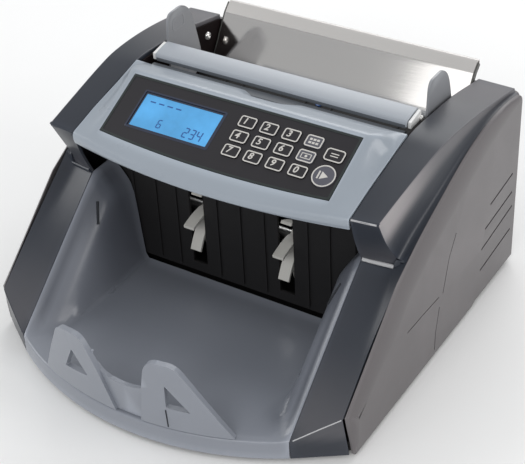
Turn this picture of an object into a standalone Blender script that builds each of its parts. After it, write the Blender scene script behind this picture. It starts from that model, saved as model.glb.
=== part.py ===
"""Banknote counting machine: housing, control panel, note hopper, feed and stacker drive.

Dimensions are millimetres in the constants below and are turned into metres when a mesh is made.
+X is the right-hand side, +Y the rear, +Z up; the feet stand on Z = 0.
"""

import math

import bmesh
import bpy
from mathutils import Vector
from mathutils.geometry import delaunay_2d_cdt

MM = 0.001
GAP = 0.3

# The front arc is struck from a round number; this moves the origin to the middle of the footprint
CENTRE_Y = -2.29

# Housing plan
HALF_W = 132.0
COVER_T = 3.0
COVER_CHAMFER = 2.0
FRONT_R = 190.9
FRONT_CY = 53.0
BAND_HALF = 101.5
REAR_Y = 137.6
REAR_T = 3.0
SKIRT_Z = 3.2
BAND_TOP = 16.2
FRAME_T = 2.0
FRAME_IN = 100.3

# Control panel plane: a point on its lower edge, and its slope
PANEL_Y = -30.1
PANEL_Z = 132.7
PANEL_TILT = math.radians(25.67)
OVERLAY_HALF = 82.9
OVERLAY_TOP = 45.6
OVERLAY_BOW = 4.3
OVERLAY_T = 2.4
LCD = (-67.4, 9.3, -8.2, 35.5)
KEY_COLS = (9.0, 24.5, 40.1, 55.8)
KEY_ROWS = (34.0, 23.1, 12.2)
KEY_SIZE = (11.6, 8.4)
KEY_NAMES = (
    ("key_1", "key_2", "key_3", "key_clear"),
    ("key_4", "key_5", "key_6", "key_detect"),
    ("key_7", "key_8", "key_9", "key_0"),
)
MODE_KEY = (72.4, 28.8, 13.0, 9.0)
START_KEY = (72.5, 13.9, 7.6)
KEY_PROUD = 0.6
KEY_DEPTH = 3.2
BOARD_DEPTH = 7.0

# Bezel
BEZEL_HALF = 99.7
BEZEL_T = 2.2
LIP_Z = 121.5

# Hopper
BAR_HALF = 94.0
BAR_AXIS = (59.6, 144.2)
PLATE_HALF = 97.4
GUIDE_IN = 96.4
GUIDE_T = 2.4
MECH_IN = 98.2
MECH_T = 1.5

# Drive: (y, z) of the turning axes and radii
PICKUP = (80.0, 93.0)
FEED = (54.0, 84.0)
STACKER = (18.0, 58.0)
MOTOR = (95.0, 40.0)
PICKUP_R = 13.5
FEED_R = 12.0
STACKER_R = 30.0
SHAFT_R = 4.0
ROLLER_X = ((-44.0, -20.0), (20.0, 44.0))
WHEEL_X = ((-38.0, -30.0), (30.0, 38.0))
PULLEY_X = (111.0, 119.0)
MOTOR_R = 22.0
MOTOR_X = (-20.0, 62.0)

MATERIALS = {
    "slate": ((0.045, 0.053, 0.068), 0.38, 0.0),
    "warm_grey": ((0.200, 0.187, 0.172), 0.40, 0.0),
    "silver_blue": ((0.352, 0.389, 0.434), 0.36, 0.0),
    "tray_grey": ((0.290, 0.310, 0.350), 0.34, 0.0),
    "overlay": ((0.040, 0.038, 0.040), 0.45, 0.0),
    "lcd": ((0.070, 0.370, 0.740), 0.22, 0.0),
    "key": ((0.052, 0.052, 0.056), 0.42, 0.0),
    "steel": ((0.560, 0.545, 0.520), 0.16, 1.0),
    "guide": ((0.175, 0.200, 0.222), 0.32, 0.0),
    "dark_steel": ((0.035, 0.032, 0.032), 0.42, 0.6),
    "rubber": ((0.030, 0.030, 0.032), 0.75, 0.0),
    "board": ((0.020, 0.120, 0.060), 0.45, 0.0),
    "black": ((0.022, 0.022, 0.024), 0.50, 0.0),
    "nylon": ((0.620, 0.610, 0.580), 0.45, 0.0),
    "zinc": ((0.460, 0.460, 0.450), 0.35, 1.0),
}


def make_materials():
    for name, (colour, rough, metal) in MATERIALS.items():
        m = bpy.data.materials.new(name)
        m.use_nodes = True
        shader = m.node_tree.nodes["Principled BSDF"]
        shader.inputs["Base Color"].default_value = (*colour, 1.0)
        shader.inputs["Roughness"].default_value = rough
        shader.inputs["Metallic"].default_value = metal


def place(bm, name, material, origin=(0.0, 0.0, 0.0), smooth=None):
    """Turn a mesh in millimetres into an object whose origin is `origin`."""
    bmesh.ops.recalc_face_normals(bm, faces=bm.faces)
    shift = Vector(origin)
    for v in bm.verts:
        v.co = (v.co - shift) * MM
    mesh = bpy.data.meshes.new(name)
    bm.to_mesh(mesh)
    bm.free()
    mesh.materials.append(bpy.data.materials[material])
    obj = bpy.data.objects.new(name, mesh)
    obj.location = (shift + Vector((0.0, CENTRE_Y, 0.0))) * MM
    bpy.context.scene.collection.objects.link(obj)
    if smooth is not None:
        mesh.shade_smooth()
        mesh.set_sharp_from_angle(angle=math.radians(smooth))
    return obj


def bevel(obj, width, segments=1, angle=35.0):
    mod = obj.modifiers.new("Bevel", "BEVEL")
    mod.width = width * MM
    mod.segments = segments
    mod.limit_method = "ANGLE"
    mod.angle_limit = math.radians(angle)
    return obj


def from_faces(points, faces):
    bm = bmesh.new()
    verts = [bm.verts.new(p) for p in points]
    for f in faces:
        bm.faces.new([verts[i] for i in f])
    return bm


def contains(loop, u, v):
    inside = False
    for (u0, v0), (u1, v1) in zip(loop, loop[1:] + loop[:1]):
        if (v0 > v) != (v1 > v) and u < u0 + (v - v0) / (v1 - v0) * (u1 - u0):
            inside = not inside
    return inside


def fill(loops):
    """Triangles of a flat region bounded by the first loop, less the others."""
    points, edges = [], []
    for loop in loops:
        start = len(points)
        points += [Vector(p) for p in loop]
        n = len(loop)
        edges += [(start + i, start + (i + 1) % n) for i in range(n)]
    out = delaunay_2d_cdt(points, edges, [], 1, 1e-5)
    flat = [tuple(p) for p in out[0]]
    tris = []
    for f in out[2]:
        u = sum(flat[i][0] for i in f) / 3.0
        v = sum(flat[i][1] for i in f) / 3.0
        if sum(contains(loop, u, v) for loop in loops) == 1:
            tris.append(tuple(f))
    return flat, tris


def plate(loops, place_at, near, far):
    """Extrude flat loops between two offsets; `place_at(u, v, w)` gives the point."""
    flat, tris = fill(loops)
    bm = bmesh.new()
    low = [bm.verts.new(place_at(u, v, near)) for u, v in flat]
    faces = [bm.faces.new([low[i] for i in t]) for t in tris]
    bmesh.ops.dissolve_limit(bm, angle_limit=0.001, verts=bm.verts, edges=bm.edges)
    out = bmesh.ops.extrude_face_region(bm, geom=list(bm.faces))
    step = Vector(place_at(0.0, 0.0, far)) - Vector(place_at(0.0, 0.0, near))
    for item in out["geom"]:
        if isinstance(item, bmesh.types.BMVert):
            item.co += step
    bmesh.ops.triangulate(bm, faces=bm.faces)
    return bm


def along_x(y, z, x):
    return (x, y, z)


def along_z(x, y, z):
    return (x, y, z)


def along_y(x, z, y):
    return (x, y, z)


def on_panel(x, v, h):
    """A point on the control panel: x across, v up the slope, h above the surface."""
    c, s = math.cos(PANEL_TILT), math.sin(PANEL_TILT)
    return (x, PANEL_Y + v * c - h * s, PANEL_Z + v * s + h * c)


def box_bm(lo, hi):
    x0, y0, z0 = lo
    x1, y1, z1 = hi
    loop = [(x0, y0), (x1, y0), (x1, y1), (x0, y1)]
    return plate([loop], along_z, z0, z1)


def rounded_rect(x0, y0, x1, y1, r, steps=3):
    corners = ((x1 - r, y1 - r, 0), (x0 + r, y1 - r, 90), (x0 + r, y0 + r, 180), (x1 - r, y0 + r, 270))
    out = []
    for cx, cy, start in corners:
        for i in range(steps + 1):
            a = math.radians(start + 90.0 * i / steps)
            out.append((cx + r * math.cos(a), cy + r * math.sin(a)))
    return out


def circle(cx, cy, r, n=20):
    turn = 2.0 * math.pi / n
    return [(cx + r * math.cos(i * turn), cy + r * math.sin(i * turn)) for i in range(n)]


def revolve_x(profile, centre, n=24):
    """Turn a closed (x, radius) profile about the X axis through centre (y, z)."""
    bm = bmesh.new()
    rings = []
    for i in range(n):
        a = 2.0 * math.pi * i / n
        c, s = math.cos(a), math.sin(a)
        rings.append([bm.verts.new((x, centre[0] + r * c, centre[1] + r * s)) for x, r in profile])
    m = len(profile)
    for i in range(n):
        near, far = rings[i], rings[(i + 1) % n]
        for j in range(m):
            k = (j + 1) % m
            bm.faces.new((near[j], near[k], far[k], far[j]))
    return bm


def rod_x(x0, x1, r, centre, n=16):
    return plate([circle(centre[0], centre[1], r, n)], along_x, x0, x1)


def lerp(table, t):
    """Value at t of a piecewise straight line given as (t, value) pairs."""
    if t <= table[0][0]:
        return table[0][1]
    for (t0, v0), (t1, v1) in zip(table, table[1:]):
        if t <= t1:
            return v0 + (v1 - v0) * (t - t0) / (t1 - t0)
    return table[-1][1]


def arc_y(x, r=FRONT_R):
    return FRONT_CY - math.sqrt(r * r - x * x)


# Heights along the housing, as (y, z)
SHOULDER_IN = ((-36.2, 129.1), (-13.4, 135.5), (14.7, 141.6), (34.1, 146.6),
               (52.2, 146.7), (96.8, 142.5), (136.1, 134.9))
SHOULDER_OUT = ((118.7, -36.3, 130.7), (120.0, -12.0, 136.0), (121.9, 20.8, 142.6), (123.0, 40.7, 145.1),
                (124.2, 67.1, 144.6), (125.3, 96.9, 141.3), (126.0, 134.0, 134.8))
PANEL_EDGE = ((-98.1, 38.4), (-36.0, 93.5), (-10.5, 107.1), (12.3, 116.9), (24.0, 121.3),
              (31.8, 124.6), (56.0, 132.8), (83.0, 137.6), (110.0, 137.2), (131.0, 133.6))
COVER_EDGE = ((-95.1, 35.8), (-33.0, 90.9), (-7.5, 104.5), (15.3, 114.3), (27.0, 118.7),
              (34.8, 122.0), (59.0, 130.2), (86.0, 135.0), (112.0, 134.8), (131.0, 132.4))
WING = ((-108.6, 17.6), (-60.0, 60.0), (-22.8, 92.0))


def base_outline(inset, steps=14):
    """Plan of the housing, pulled in by `inset`, from the front right corner round."""
    r = FRONT_R - inset
    half = BAND_HALF - 0.4 * inset
    w = HALF_W - inset
    rear = REAR_Y - inset
    front = [(half - 2.0 * half * i / steps, arc_y(half - 2.0 * half * i / steps, r)) for i in range(steps + 1)]
    return [(w, rear), (w, -88.0 + 0.3 * inset), *front, (-w, -88.0 + 0.3 * inset), (-w, rear)]


def build_base_pan():
    inset = COVER_T + 1.2
    outer, inner = base_outline(inset), base_outline(inset + 2.2)
    n = len(outer)
    z = (SKIRT_Z + 0.6, SKIRT_Z + 3.2, SKIRT_Z + 8.0)
    rows = [(outer, z[0]), (outer, z[2]), (inner, z[2]), (inner, z[1])]
    points = [(x, y, h) for loop, h in rows for x, y in loop]
    faces = [list(range(n - 1, -1, -1)), [3 * n + i for i in range(n)]]
    for k in range(3):
        for i in range(n):
            j = (i + 1) % n
            faces.append([k * n + i, k * n + j, (k + 1) * n + j, (k + 1) * n + i])
    bm = from_faces(points, faces)
    bmesh.ops.triangulate(bm, faces=bm.faces)
    place(bm, "base_pan", "black")


def build_feet():
    for name, x, y in (("foot_front_left", -92.0, -84.0), ("foot_front_right", 92.0, -84.0),
                       ("foot_rear_left", -112.0, 116.0), ("foot_rear_right", 112.0, 116.0)):
        bm = plate([circle(x, y, 9.0, 20)], along_z, 0.0, SKIRT_Z + 0.6 - 0.1)
        bevel(place(bm, name, "rubber", smooth=40), 0.8)


def cover_outline():
    return [(-88.0, SKIRT_Z), *COVER_EDGE, (134.0, 128.6), (134.2, SKIRT_Z)]


LOUVRES = (((91.3, 72.4), (125.6, 76.7)), ((84.9, 57.1), (126.5, 61.6)),
           ((80.6, 43.3), (128.3, 49.4)), ((80.2, 26.7), (127.2, 31.1)))


def on_cover_edge(y, z):
    return any(abs(y - y0) < 1e-3 and abs(z - z0) < 1e-3 for y0, z0 in COVER_EDGE)


def slot(a, b, half):
    (y0, z0), (y1, z1) = a, b
    length = math.hypot(y1 - y0, z1 - z0)
    ny, nz = -(z1 - z0) / length * half, (y1 - y0) / length * half
    return [(y0 + ny, z0 + nz), (y0 - ny, z0 - nz), (y1 - ny, z1 - nz), (y1 + ny, z1 + nz)]


def build_side_cover(name, side):
    loops = [cover_outline()] + [slot(a, b, 0.8) for a, b in LOUVRES]
    bm = plate(loops, along_x, side * (HALF_W - COVER_T), side * HALF_W)
    rim = [e for e in bm.edges if all(abs(abs(v.co.x) - HALF_W) < 1e-3 and on_cover_edge(v.co.y, v.co.z)
                                      for v in e.verts)]
    bmesh.ops.bevel(bm, geom=rim, offset=COVER_CHAMFER, offset_type="OFFSET", segments=1, affect="EDGES")
    place(bm, name, "warm_grey")


def frame_points():
    """Outer skin of the right-hand side frame: wing, front facet, shoulder and valley."""
    wing = [
        [(101.9, -108.4, 3.4), (115.0, -99.4, 3.4), (124.5, -92.9, 3.4), (127.6, -90.8, 3.4)],
        [(101.9, -108.6, 17.6), (115.0, -101.3, 26.5), (124.5, -95.6, 33.2), (126.4, -94.0, 35.6)],
        [(FRAME_IN, -60.0, 60.0), (112.0, -60.0, 60.0), (121.5, -60.0, 61.5), (126.0, -58.0, 68.0)],
        [(FRAME_IN, -22.8, 92.0), (109.0, -20.8, 90.6), (118.0, -18.4, 89.6), (126.0, -14.0, 100.4)],
    ]
    shoulder = []
    valley_y = (-16.5, 0.0, 26.0, 44.0, 68.0, 97.0, 133.2)
    valley_x = (120.8, 121.6, 123.4, 124.3, 125.2, 125.9, 126.4)
    drop = (8.0, 6.5, 5.5, 4.5, 3.0, 1.6, 0.5)
    edge_x = (126.0, 126.0, 126.2, 126.4, 126.6, 126.7, 126.8)
    for k, b in enumerate(SHOULDER_OUT):
        y = b[1]
        a = (FRAME_IN, y, lerp(SHOULDER_IN, y))
        a0 = (FRAME_IN, y, a[2] - 12.0)
        vy = valley_y[k]
        d = (valley_x[k], vy, lerp(PANEL_EDGE, vy) - 0.6 - drop[k])
        ez = lerp(COVER_EDGE, vy) - 0.6
        bow = 1.6 * (1.0 - k / 6.0)
        c = (0.45 * b[0] + 0.55 * d[0] - bow, 0.45 * b[1] + 0.55 * d[1], 0.45 * b[2] + 0.55 * d[2] - bow)
        shoulder.append([a0, a, b, c, d, (edge_x[k], vy, ez)])
    return wing, shoulder


def build_side_frame(name, side):
    wing, shoulder = frame_points()
    bm = bmesh.new()
    w = [[bm.verts.new((side * x, y, z)) for x, y, z in row] for row in wing]
    s = [[bm.verts.new((side * x, y, z)) if (k or j) else w[3][0] for j, (x, y, z) in enumerate(row)]
         for k, row in enumerate(shoulder)]
    for near, far in zip(w, w[1:]):
        for j in range(3):
            bm.faces.new((near[j], near[j + 1], far[j + 1], far[j]))
    for near, far in zip(s, s[1:]):
        for j in range(5):
            bm.faces.new((near[j], near[j + 1], far[j + 1], far[j]))
    bm.faces.new((w[3][2], w[3][3], s[0][5], s[0][4]))
    bm.faces.new((w[3][0], w[3][1], s[0][1]))
    bm.faces.new((w[3][1], s[0][2], s[0][1]))
    bm.faces.new((w[3][1], w[3][2], s[0][2]))
    bm.faces.new((w[3][2], s[0][3], s[0][2]))
    bm.faces.new((w[3][2], s[0][4], s[0][3]))
    thicken(bm, FRAME_T)
    place(bm, name, "slate", smooth=24)


def thicken(bm, thickness):
    """Close an open skin by adding a copy of it `thickness` further in."""
    bmesh.ops.recalc_face_normals(bm, faces=bm.faces)
    up = sum((f.normal.z * f.calc_area() for f in bm.faces), 0.0)
    if up < 0.0:
        bmesh.ops.reverse_faces(bm, faces=bm.faces)
    bmesh.ops.triangulate(bm, faces=bm.faces)
    bm.normal_update()
    skin = list(bm.faces)
    rim = [e for e in bm.edges if e.is_boundary]
    inner = {v: bm.verts.new(v.co - v.normal * thickness) for v in list(bm.verts)}
    for f in skin:
        bm.faces.new([inner[v] for v in reversed(f.verts)])
    for e in rim:
        a, b = e.verts
        bm.faces.new((a, b, inner[b], inner[a]))


def wing_z(y):
    return lerp(WING, y)


def tray_height(x, y):
    """Top of the note tray: flat floor, with the sides swept up to the wings."""
    ax = abs(x)
    floor = 17.0
    if ax <= 80.0:
        return floor
    fall = lerp(((83.5, 20.0), (91.0, 8.0), (97.4, 0.4), (99.8, 0.0)), ax)
    if ax < 83.5:
        return floor
    return max(floor, wing_z(y) - fall)


def build_front_tray():
    half = (0.0, 18.0, 36.0, 54.0, 70.0, 80.5, 83.5, 91.0, 97.4, 99.8)
    xs = sorted({-x for x in half} | set(half))
    back = (-100.0, -84.0, -68.0, -52.0, -36.0, -22.8, -3.0)
    rows = []
    rows.append([(x, arc_y(x), SKIRT_Z + 0.2) for x in xs])
    rows.append([(x, arc_y(x), BAND_TOP - 1.0) for x in xs])
    rows.append([(x, arc_y(x, FRONT_R - 1.0), BAND_TOP) for x in xs])
    rows.append([(x, arc_y(x, FRONT_R - 5.0) if abs(x) < 80 else arc_y(x, FRONT_R - 3.5),
                  max(17.0, tray_height(x, arc_y(x, FRONT_R - 3.5)))) for x in xs])
    for y in back:
        rows.append([(x, y, tray_height(x, y)) for x in xs])
    bm = bmesh.new()
    grid = [[bm.verts.new(p) for p in row] for row in rows]
    for near, far in zip(grid, grid[1:]):
        for j in range(len(xs) - 1):
            bm.faces.new((near[j], near[j + 1], far[j + 1], far[j]))
    thicken(bm, 2.0)
    place(bm, "front_tray", "tray_grey", smooth=30)


STOP_TOP = ((-68.5, 17.2), (-46.5, 59.0), (-44.0, 64.0), (-40.0, 66.8), (-27.5, 68.4), (-23.0, 66.6), (-20.0, 62.0),
            (-12.5, 44.0), (-7.0, 41.6), (4.0, 40.6), (13.5, 41.6), (18.0, 44.0), (21.5, 62.0), (24.0, 67.0),
            (28.5, 69.6), (38.5, 69.6), (43.0, 67.4), (46.5, 62.5), (73.5, 17.2))
STOP_BOTTOM = (58.0, 43.0, 28.0, 14.0, 0.0, -14.0, -28.0, -42.0, -55.0)
STOP_T = 3.8
STOP_HOLES = (((-43.0, 34.0), (-32.6, 53.0), (-22.5, 36.5)), ((33.0, 34.5), (34.0, 53.0), (48.5, 34.0)))


def on_front(x, z, d):
    """A point on the curved front, leaning outward with height; d is depth behind it."""
    r = FRONT_R - 0.2 + 4.3 * (z - 16.0) / 54.0 - d
    angle = x / FRONT_R
    return (r * math.sin(angle), FRONT_CY - r * math.cos(angle), z)


def build_note_stop():
    outline = [*STOP_TOP, *[(x, 17.2) for x in STOP_BOTTOM]]
    holes = [list(loop) for loop in STOP_HOLES]
    flat, tris = fill([outline, *holes])
    bm = bmesh.new()
    front = [bm.verts.new(on_front(u, v, 0.0)) for u, v in flat]
    for t in tris:
        bm.faces.new([front[i] for i in t])
    out = bmesh.ops.extrude_face_region(bm, geom=list(bm.faces))
    moved = [g for g in out["geom"] if isinstance(g, bmesh.types.BMVert)]
    centre = Vector((0.0, FRONT_CY, 0.0))
    for v in moved:
        inward = Vector((centre.x - v.co.x, centre.y - v.co.y, 0.0)).normalized()
        v.co += inward * STOP_T
    place(bm, "note_stop", "tray_grey", smooth=30)


def panel_z(y):
    return PANEL_Z + (y - PANEL_Y) * math.tan(PANEL_TILT)


def overlay_front_v(x):
    return -OVERLAY_BOW * (1.0 - (x / OVERLAY_HALF) ** 2)


def bezel_z(x, y):
    top = panel_z(min(y, 13.6))
    if y > 13.6:
        s = (y - 13.6) / 20.8
        top += (146.8 - top) * (0.35 * s + 0.65 * s * s)
    edge = lerp(SHOULDER_IN, y) + 0.4
    t = min(max((abs(x) - 85.8) / (BEZEL_HALF - 85.8), 0.0), 1.0)
    t = t * t * (3.0 - 2.0 * t)
    return top + (edge - top) * t


def notched(x, y, z):
    """Press the finger notch into the rear edge of the bezel."""
    depth = lerp(((-16.0, 0.0), (-8.0, 0.35), (0.0, 1.0), (10.0, 1.0), (18.0, 0.35), (26.0, 0.0)), x)
    near = min(max((y - 22.0) / 12.4, 0.0), 1.0)
    return (x, y - 5.5 * depth * near * near, z - 3.0 * depth * near)


def build_bezel():
    half = (40.0, 60.0, 76.0, OVERLAY_HALF + GAP, 85.8, 89.0, 93.0, 96.5, BEZEL_HALF)
    xs = sorted({-x for x in half} | set(half) | {-16.0, -8.0, 0.0, 10.0, 18.0, 26.0})
    hole = OVERLAY_HALF + GAP
    rows = []

    def bend(x, end, centre):
        return end + (centre - end) * (1.0 - (x / BEZEL_HALF) ** 2)

    rows.append([(x, bend(x, -36.0, -47.0), LIP_Z) for x in xs])
    rows.append([(x, bend(x, -37.2, -47.2), bend(x, 126.5, 123.6)) for x in xs])
    rows.append([(x, bend(x, -36.2, -44.6), panel_z(bend(x, -36.2, -44.6)) - 0.3) for x in xs])
    cos_t = math.cos(PANEL_TILT)
    front_y = [PANEL_Y + (overlay_front_v(min(abs(x), OVERLAY_HALF)) - GAP) * cos_t for x in xs]
    rows.append([(x, y, bezel_z(x, y)) for x, y in zip(xs, front_y)])
    top_y = PANEL_Y + (OVERLAY_TOP + GAP) * cos_t
    for y in (-14.0, 0.0, top_y, 13.6, 19.0, 25.0, 31.0, 34.4):
        rows.append([notched(x, y, bezel_z(x, y)) for x in xs])
    rows.append([notched(x, 35.2, 139.5) for x in xs])
    bm = bmesh.new()
    grid = [[bm.verts.new(p) for p in row] for row in rows]
    for i, (near, far) in enumerate(zip(grid, grid[1:])):
        for j in range(len(xs) - 1):
            inside = abs(xs[j]) <= hole and abs(xs[j + 1]) <= hole
            if inside and 3 <= i <= 5:
                continue
            bm.faces.new((near[j], near[j + 1], far[j + 1], far[j]))
    thicken(bm, BEZEL_T)
    place(bm, "control_bezel", "silver_blue", smooth=30)


def key_outlines():
    """Name, centre and outline of every key, on the panel."""
    keys = []
    for v, names in zip(KEY_ROWS, KEY_NAMES):
        for x, name in zip(KEY_COLS, names):
            w, h = KEY_SIZE
            keys.append((name, (x, v), rounded_rect(x - w / 2, v - h / 2, x + w / 2, v + h / 2, 1.8)))
    x, v, w, h = MODE_KEY
    keys.append(("key_mode", (x, v), rounded_rect(x - w / 2, v - h / 2, x + w / 2, v + h / 2, 2.4)))
    x, v, r = START_KEY
    keys.append(("key_start", (x, v), circle(x, v, r, 24)))
    return keys


def grown(outline, centre, by):
    cx, cy = centre
    out = []
    for x, y in outline:
        dx, dy = x - cx, y - cy
        out.append((x + math.copysign(by, dx) * min(1.0, abs(dx)), y + math.copysign(by, dy) * min(1.0, abs(dy))))
    return out


def build_overlay():
    xs = [OVERLAY_HALF * (1.0 - i / 6.0) for i in range(13)]
    front = [(x, overlay_front_v(x)) for x in xs]
    outline = [(-OVERLAY_HALF, OVERLAY_TOP), (OVERLAY_HALF, OVERLAY_TOP), *front]
    x0, v0, x1, v1 = LCD
    holes = [[(x0 - GAP, v0 - GAP), (x1 + GAP, v0 - GAP), (x1 + GAP, v1 + GAP), (x0 - GAP, v1 + GAP)]]
    holes += [grown(o, c, GAP) for _, c, o in key_outlines()]
    bm = plate([outline, *holes], on_panel, -OVERLAY_T, 0.0)
    place(bm, "keypad_overlay", "overlay")


def build_keys():
    for name, centre, outline in key_outlines():
        bm = plate([outline], on_panel, KEY_PROUD - KEY_DEPTH, KEY_PROUD)
        place(bm, name, "key", origin=on_panel(*centre, KEY_PROUD - KEY_DEPTH))


def build_lcd():
    x0, v0, x1, v1 = LCD
    bm = plate([[(x0, v0), (x1, v0), (x1, v1), (x0, v1)]], on_panel, -5.2, -0.5)
    place(bm, "lcd_module", "lcd")


def build_control_board():
    bm = plate([rounded_rect(-78.0, 3.0, 81.0, 43.0, 2.0, 2)], on_panel, -BOARD_DEPTH - 1.6, -BOARD_DEPTH)
    place(bm, "control_board", "board")


BAR_PROFILE = ((46.2, 142.6), (46.2, 146.6), (47.2, 147.8), (55.0, 149.4), (61.2, 149.8), (62.0, 149.2),
               (62.0, 141.4), (60.2, 140.2), (57.6, 141.0), (57.2, 146.2), (49.0, 144.4), (48.6, 142.6))


def join_into(obj, bm, name):
    """Fuse a second solid into an object."""
    tool = place(bm, name, "zinc", origin=tuple(c / MM for c in obj.location - Vector((0.0, CENTRE_Y * MM, 0.0))))
    tool.hide_render = True
    tool.display_type = "WIRE"
    mod = obj.modifiers.new("Join", "BOOLEAN")
    mod.operation = "UNION"
    mod.solver = "EXACT"
    mod.object = tool


def build_hopper_bar():
    origin = (0.0, *BAR_AXIS)
    bar = place(plate([BAR_PROFILE], along_x, -BAR_HALF, BAR_HALF), "hopper_bar", "silver_blue", origin=origin)
    join_into(bar, rod_x(-97.8, 97.8, 1.6, BAR_AXIS, 12), "bar_pin_tool")


def sheet_profile(line, thickness):
    """Closed outline of a bent sheet that follows `line`, thickened to its left."""
    back = []
    n = len(line)
    for i, (y, z) in enumerate(line):
        y0, z0 = line[max(i - 1, 0)]
        y1, z1 = line[min(i + 1, n - 1)]
        length = math.hypot(y1 - y0, z1 - z0)
        back.append((y - (z1 - z0) / length * thickness, z + (y1 - y0) / length * thickness))
    return [*line, *reversed(back)]


def build_hopper_plate():
    line = [(114.1, 105.4), (118.9, 112.8), (124.9, 122.0), (132.6, 134.0), (134.6, 137.0), (135.8, 138.5),
            (140.6, 142.9), (141.9, 143.7), (143.2, 143.9), (144.3, 143.4), (144.9, 142.3), (144.8, 140.9)]
    bm = plate([sheet_profile(line, -1.0)], along_x, -PLATE_HALF, PLATE_HALF)
    place(bm, "hopper_plate", "steel", smooth=30)


def floor_z(y):
    return 100.4 + (y - 66.0) * 0.16


def build_hopper_floor():
    y0, y1 = 65.0, 113.4
    loops = [[(-97.4, y0), (97.4, y0), (97.4, y1), (-97.4, y1)]]
    loops += [[(a - 1.2, 67.0), (b + 1.2, 67.0), (b + 1.2, 95.6), (a - 1.2, 95.6)] for a, b in ROLLER_X]
    bm = plate(loops, along_z, 0.0, 2.0)
    for v in bm.verts:
        v.co.z += floor_z(v.co.y) - 2.0
    place(bm, "hopper_floor", "black")


GUIDE = ((66.6, 104.0), (66.2, 148.0), (67.6, 161.5), (70.2, 165.0), (83.0, 165.4), (88.0, 163.6),
         (93.0, 158.6), (96.4, 151.0), (102.6, 124.0), (102.8, 109.6))


def build_guide(name, side):
    bm = plate([GUIDE], along_x, side * GUIDE_IN, side * (GUIDE_IN + GUIDE_T - 0.9))
    bevel(place(bm, name, "guide", origin=(side * GUIDE_IN, 84.0, 130.0)), 0.4)


def mech_outline():
    top = [(y, lerp(SHOULDER_IN, y) - 2.4) for y in (38.0, 52.0, 75.0, 97.0, 120.0, 131.0)]
    return [(3.0, 22.0), (3.0, 112.0), (37.0, 112.0), *top, (131.0, 22.0)]


def build_mech_plate(name, side):
    holes = [circle(y, z, SHAFT_R + 0.4, 12) for y, z in (PICKUP, FEED, STACKER, MOTOR)]
    bm = plate([mech_outline(), *holes], along_x, side * MECH_IN, side * (MECH_IN + MECH_T))
    place(bm, name, "dark_steel")


def build_shafts():
    for name, axis, left, right in (("pickup_shaft", PICKUP, -104.0, 121.0), ("feed_shaft", FEED, -104.0, 121.0),
                                    ("stacker_shaft", STACKER, -104.0, 121.0)):
        bm = rod_x(left, right, SHAFT_R, axis)
        place(bm, name, "zinc", origin=(0.0, *axis), smooth=40)


def tube(x0, x1, inner, outer, axis, n=24):
    return revolve_x([(x0, inner), (x0, outer), (x1, outer), (x1, inner)], axis, n)


def build_rollers():
    for word, axis, r in (("pickup", PICKUP, PICKUP_R), ("feed", FEED, FEED_R)):
        for side, (x0, x1) in zip(("left", "right"), ROLLER_X):
            bm = tube(x0, x1, SHAFT_R + 0.1, r, axis)
            place(bm, f"{word}_roller_{side}", "rubber", origin=(0.0, *axis), smooth=40)


def paddle_outline(r_in, r_out, blades=8):
    """Outline of a stacker wheel: a hub with swept flexible blades."""
    out = []
    step = 2.0 * math.pi / blades
    for i in range(blades):
        a = i * step
        for r, da in ((r_in, 0.0), (0.6 * r_out, 0.30), (r_out, 0.62), (r_out - 0.4, 0.69),
                      (0.6 * r_out, 0.44), (r_in, 0.24)):
            out.append((r * math.cos(a + da), r * math.sin(a + da)))
    return out


def build_stacker_wheels():
    y, z = STACKER
    blades = [(y + u, z + v) for u, v in paddle_outline(11.0, STACKER_R)]
    bore = circle(y, z, SHAFT_R + 0.1, 16)
    for side, (x0, x1) in zip(("left", "right"), WHEEL_X):
        bm = plate([blades, bore], along_x, x0, x1)
        place(bm, f"stacker_wheel_{side}", "nylon", origin=(0.0, y, z))


PULLEYS = (("pickup_pulley", PICKUP, 12.0), ("feed_pulley", FEED, 8.3),
           ("stacker_pulley", STACKER, 16.0), ("motor_pulley", MOTOR, 8.0))


def build_pulleys():
    for name, axis, r in PULLEYS:
        x0, x1 = PULLEY_X
        bore = SHAFT_R + 0.1 if name != "motor_pulley" else 3.1
        profile = [(x0, bore), (x0, r + 1.6), (x0 + 1.0, r + 1.6), (x0 + 1.0, r), (x1 - 1.0, r),
                   (x1 - 1.0, r + 1.6), (x1, r + 1.6), (x1, bore)]
        bm = revolve_x(profile, axis, 20)
        place(bm, name, "nylon", origin=(0.0, *axis), smooth=40)


def belt_loop(extra):
    """Outer tangent loop round the pickup, stacker and motor pulleys."""
    points = []
    for _, (y, z), r in (PULLEYS[0], PULLEYS[2], PULLEYS[3]):
        points += circle(y, z, (r + extra) / math.cos(math.pi / 32), 32)
    points = sorted(points)

    def half(items):
        out = []
        for p in items:
            while len(out) > 1 and cross(out[-2], out[-1], p) <= 0.0:
                out.pop()
            out.append(p)
        return out[:-1]

    return half(points) + half(list(reversed(points)))


def cross(o, a, b):
    return (a[0] - o[0]) * (b[1] - o[1]) - (a[1] - o[1]) * (b[0] - o[0])


def build_belt():
    bm = plate([belt_loop(1.7), belt_loop(0.3)], along_x, PULLEY_X[0] + 1.4, PULLEY_X[1] - 1.4)
    place(bm, "drive_belt", "rubber")


def build_motor():
    x0, x1 = MOTOR_X
    profile = [(x0, 6.0), (x0, MOTOR_R - 2.0), (x0 + 2.0, MOTOR_R), (x1 - 2.0, MOTOR_R),
               (x1, MOTOR_R - 2.0), (x1, 8.0), (x1 + 3.0, 8.0), (x1 + 3.0, 3.6), (x0 + 4.0, 3.6), (x0 + 4.0, 6.0)]
    bm = revolve_x(profile, MOTOR, 28)
    place(bm, "motor", "zinc", smooth=35)
    bm = rod_x(x0 + 6.0, 120.0, 3.0, MOTOR, 14)
    place(bm, "motor_shaft", "zinc", origin=(0.0, *MOTOR), smooth=40)


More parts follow.
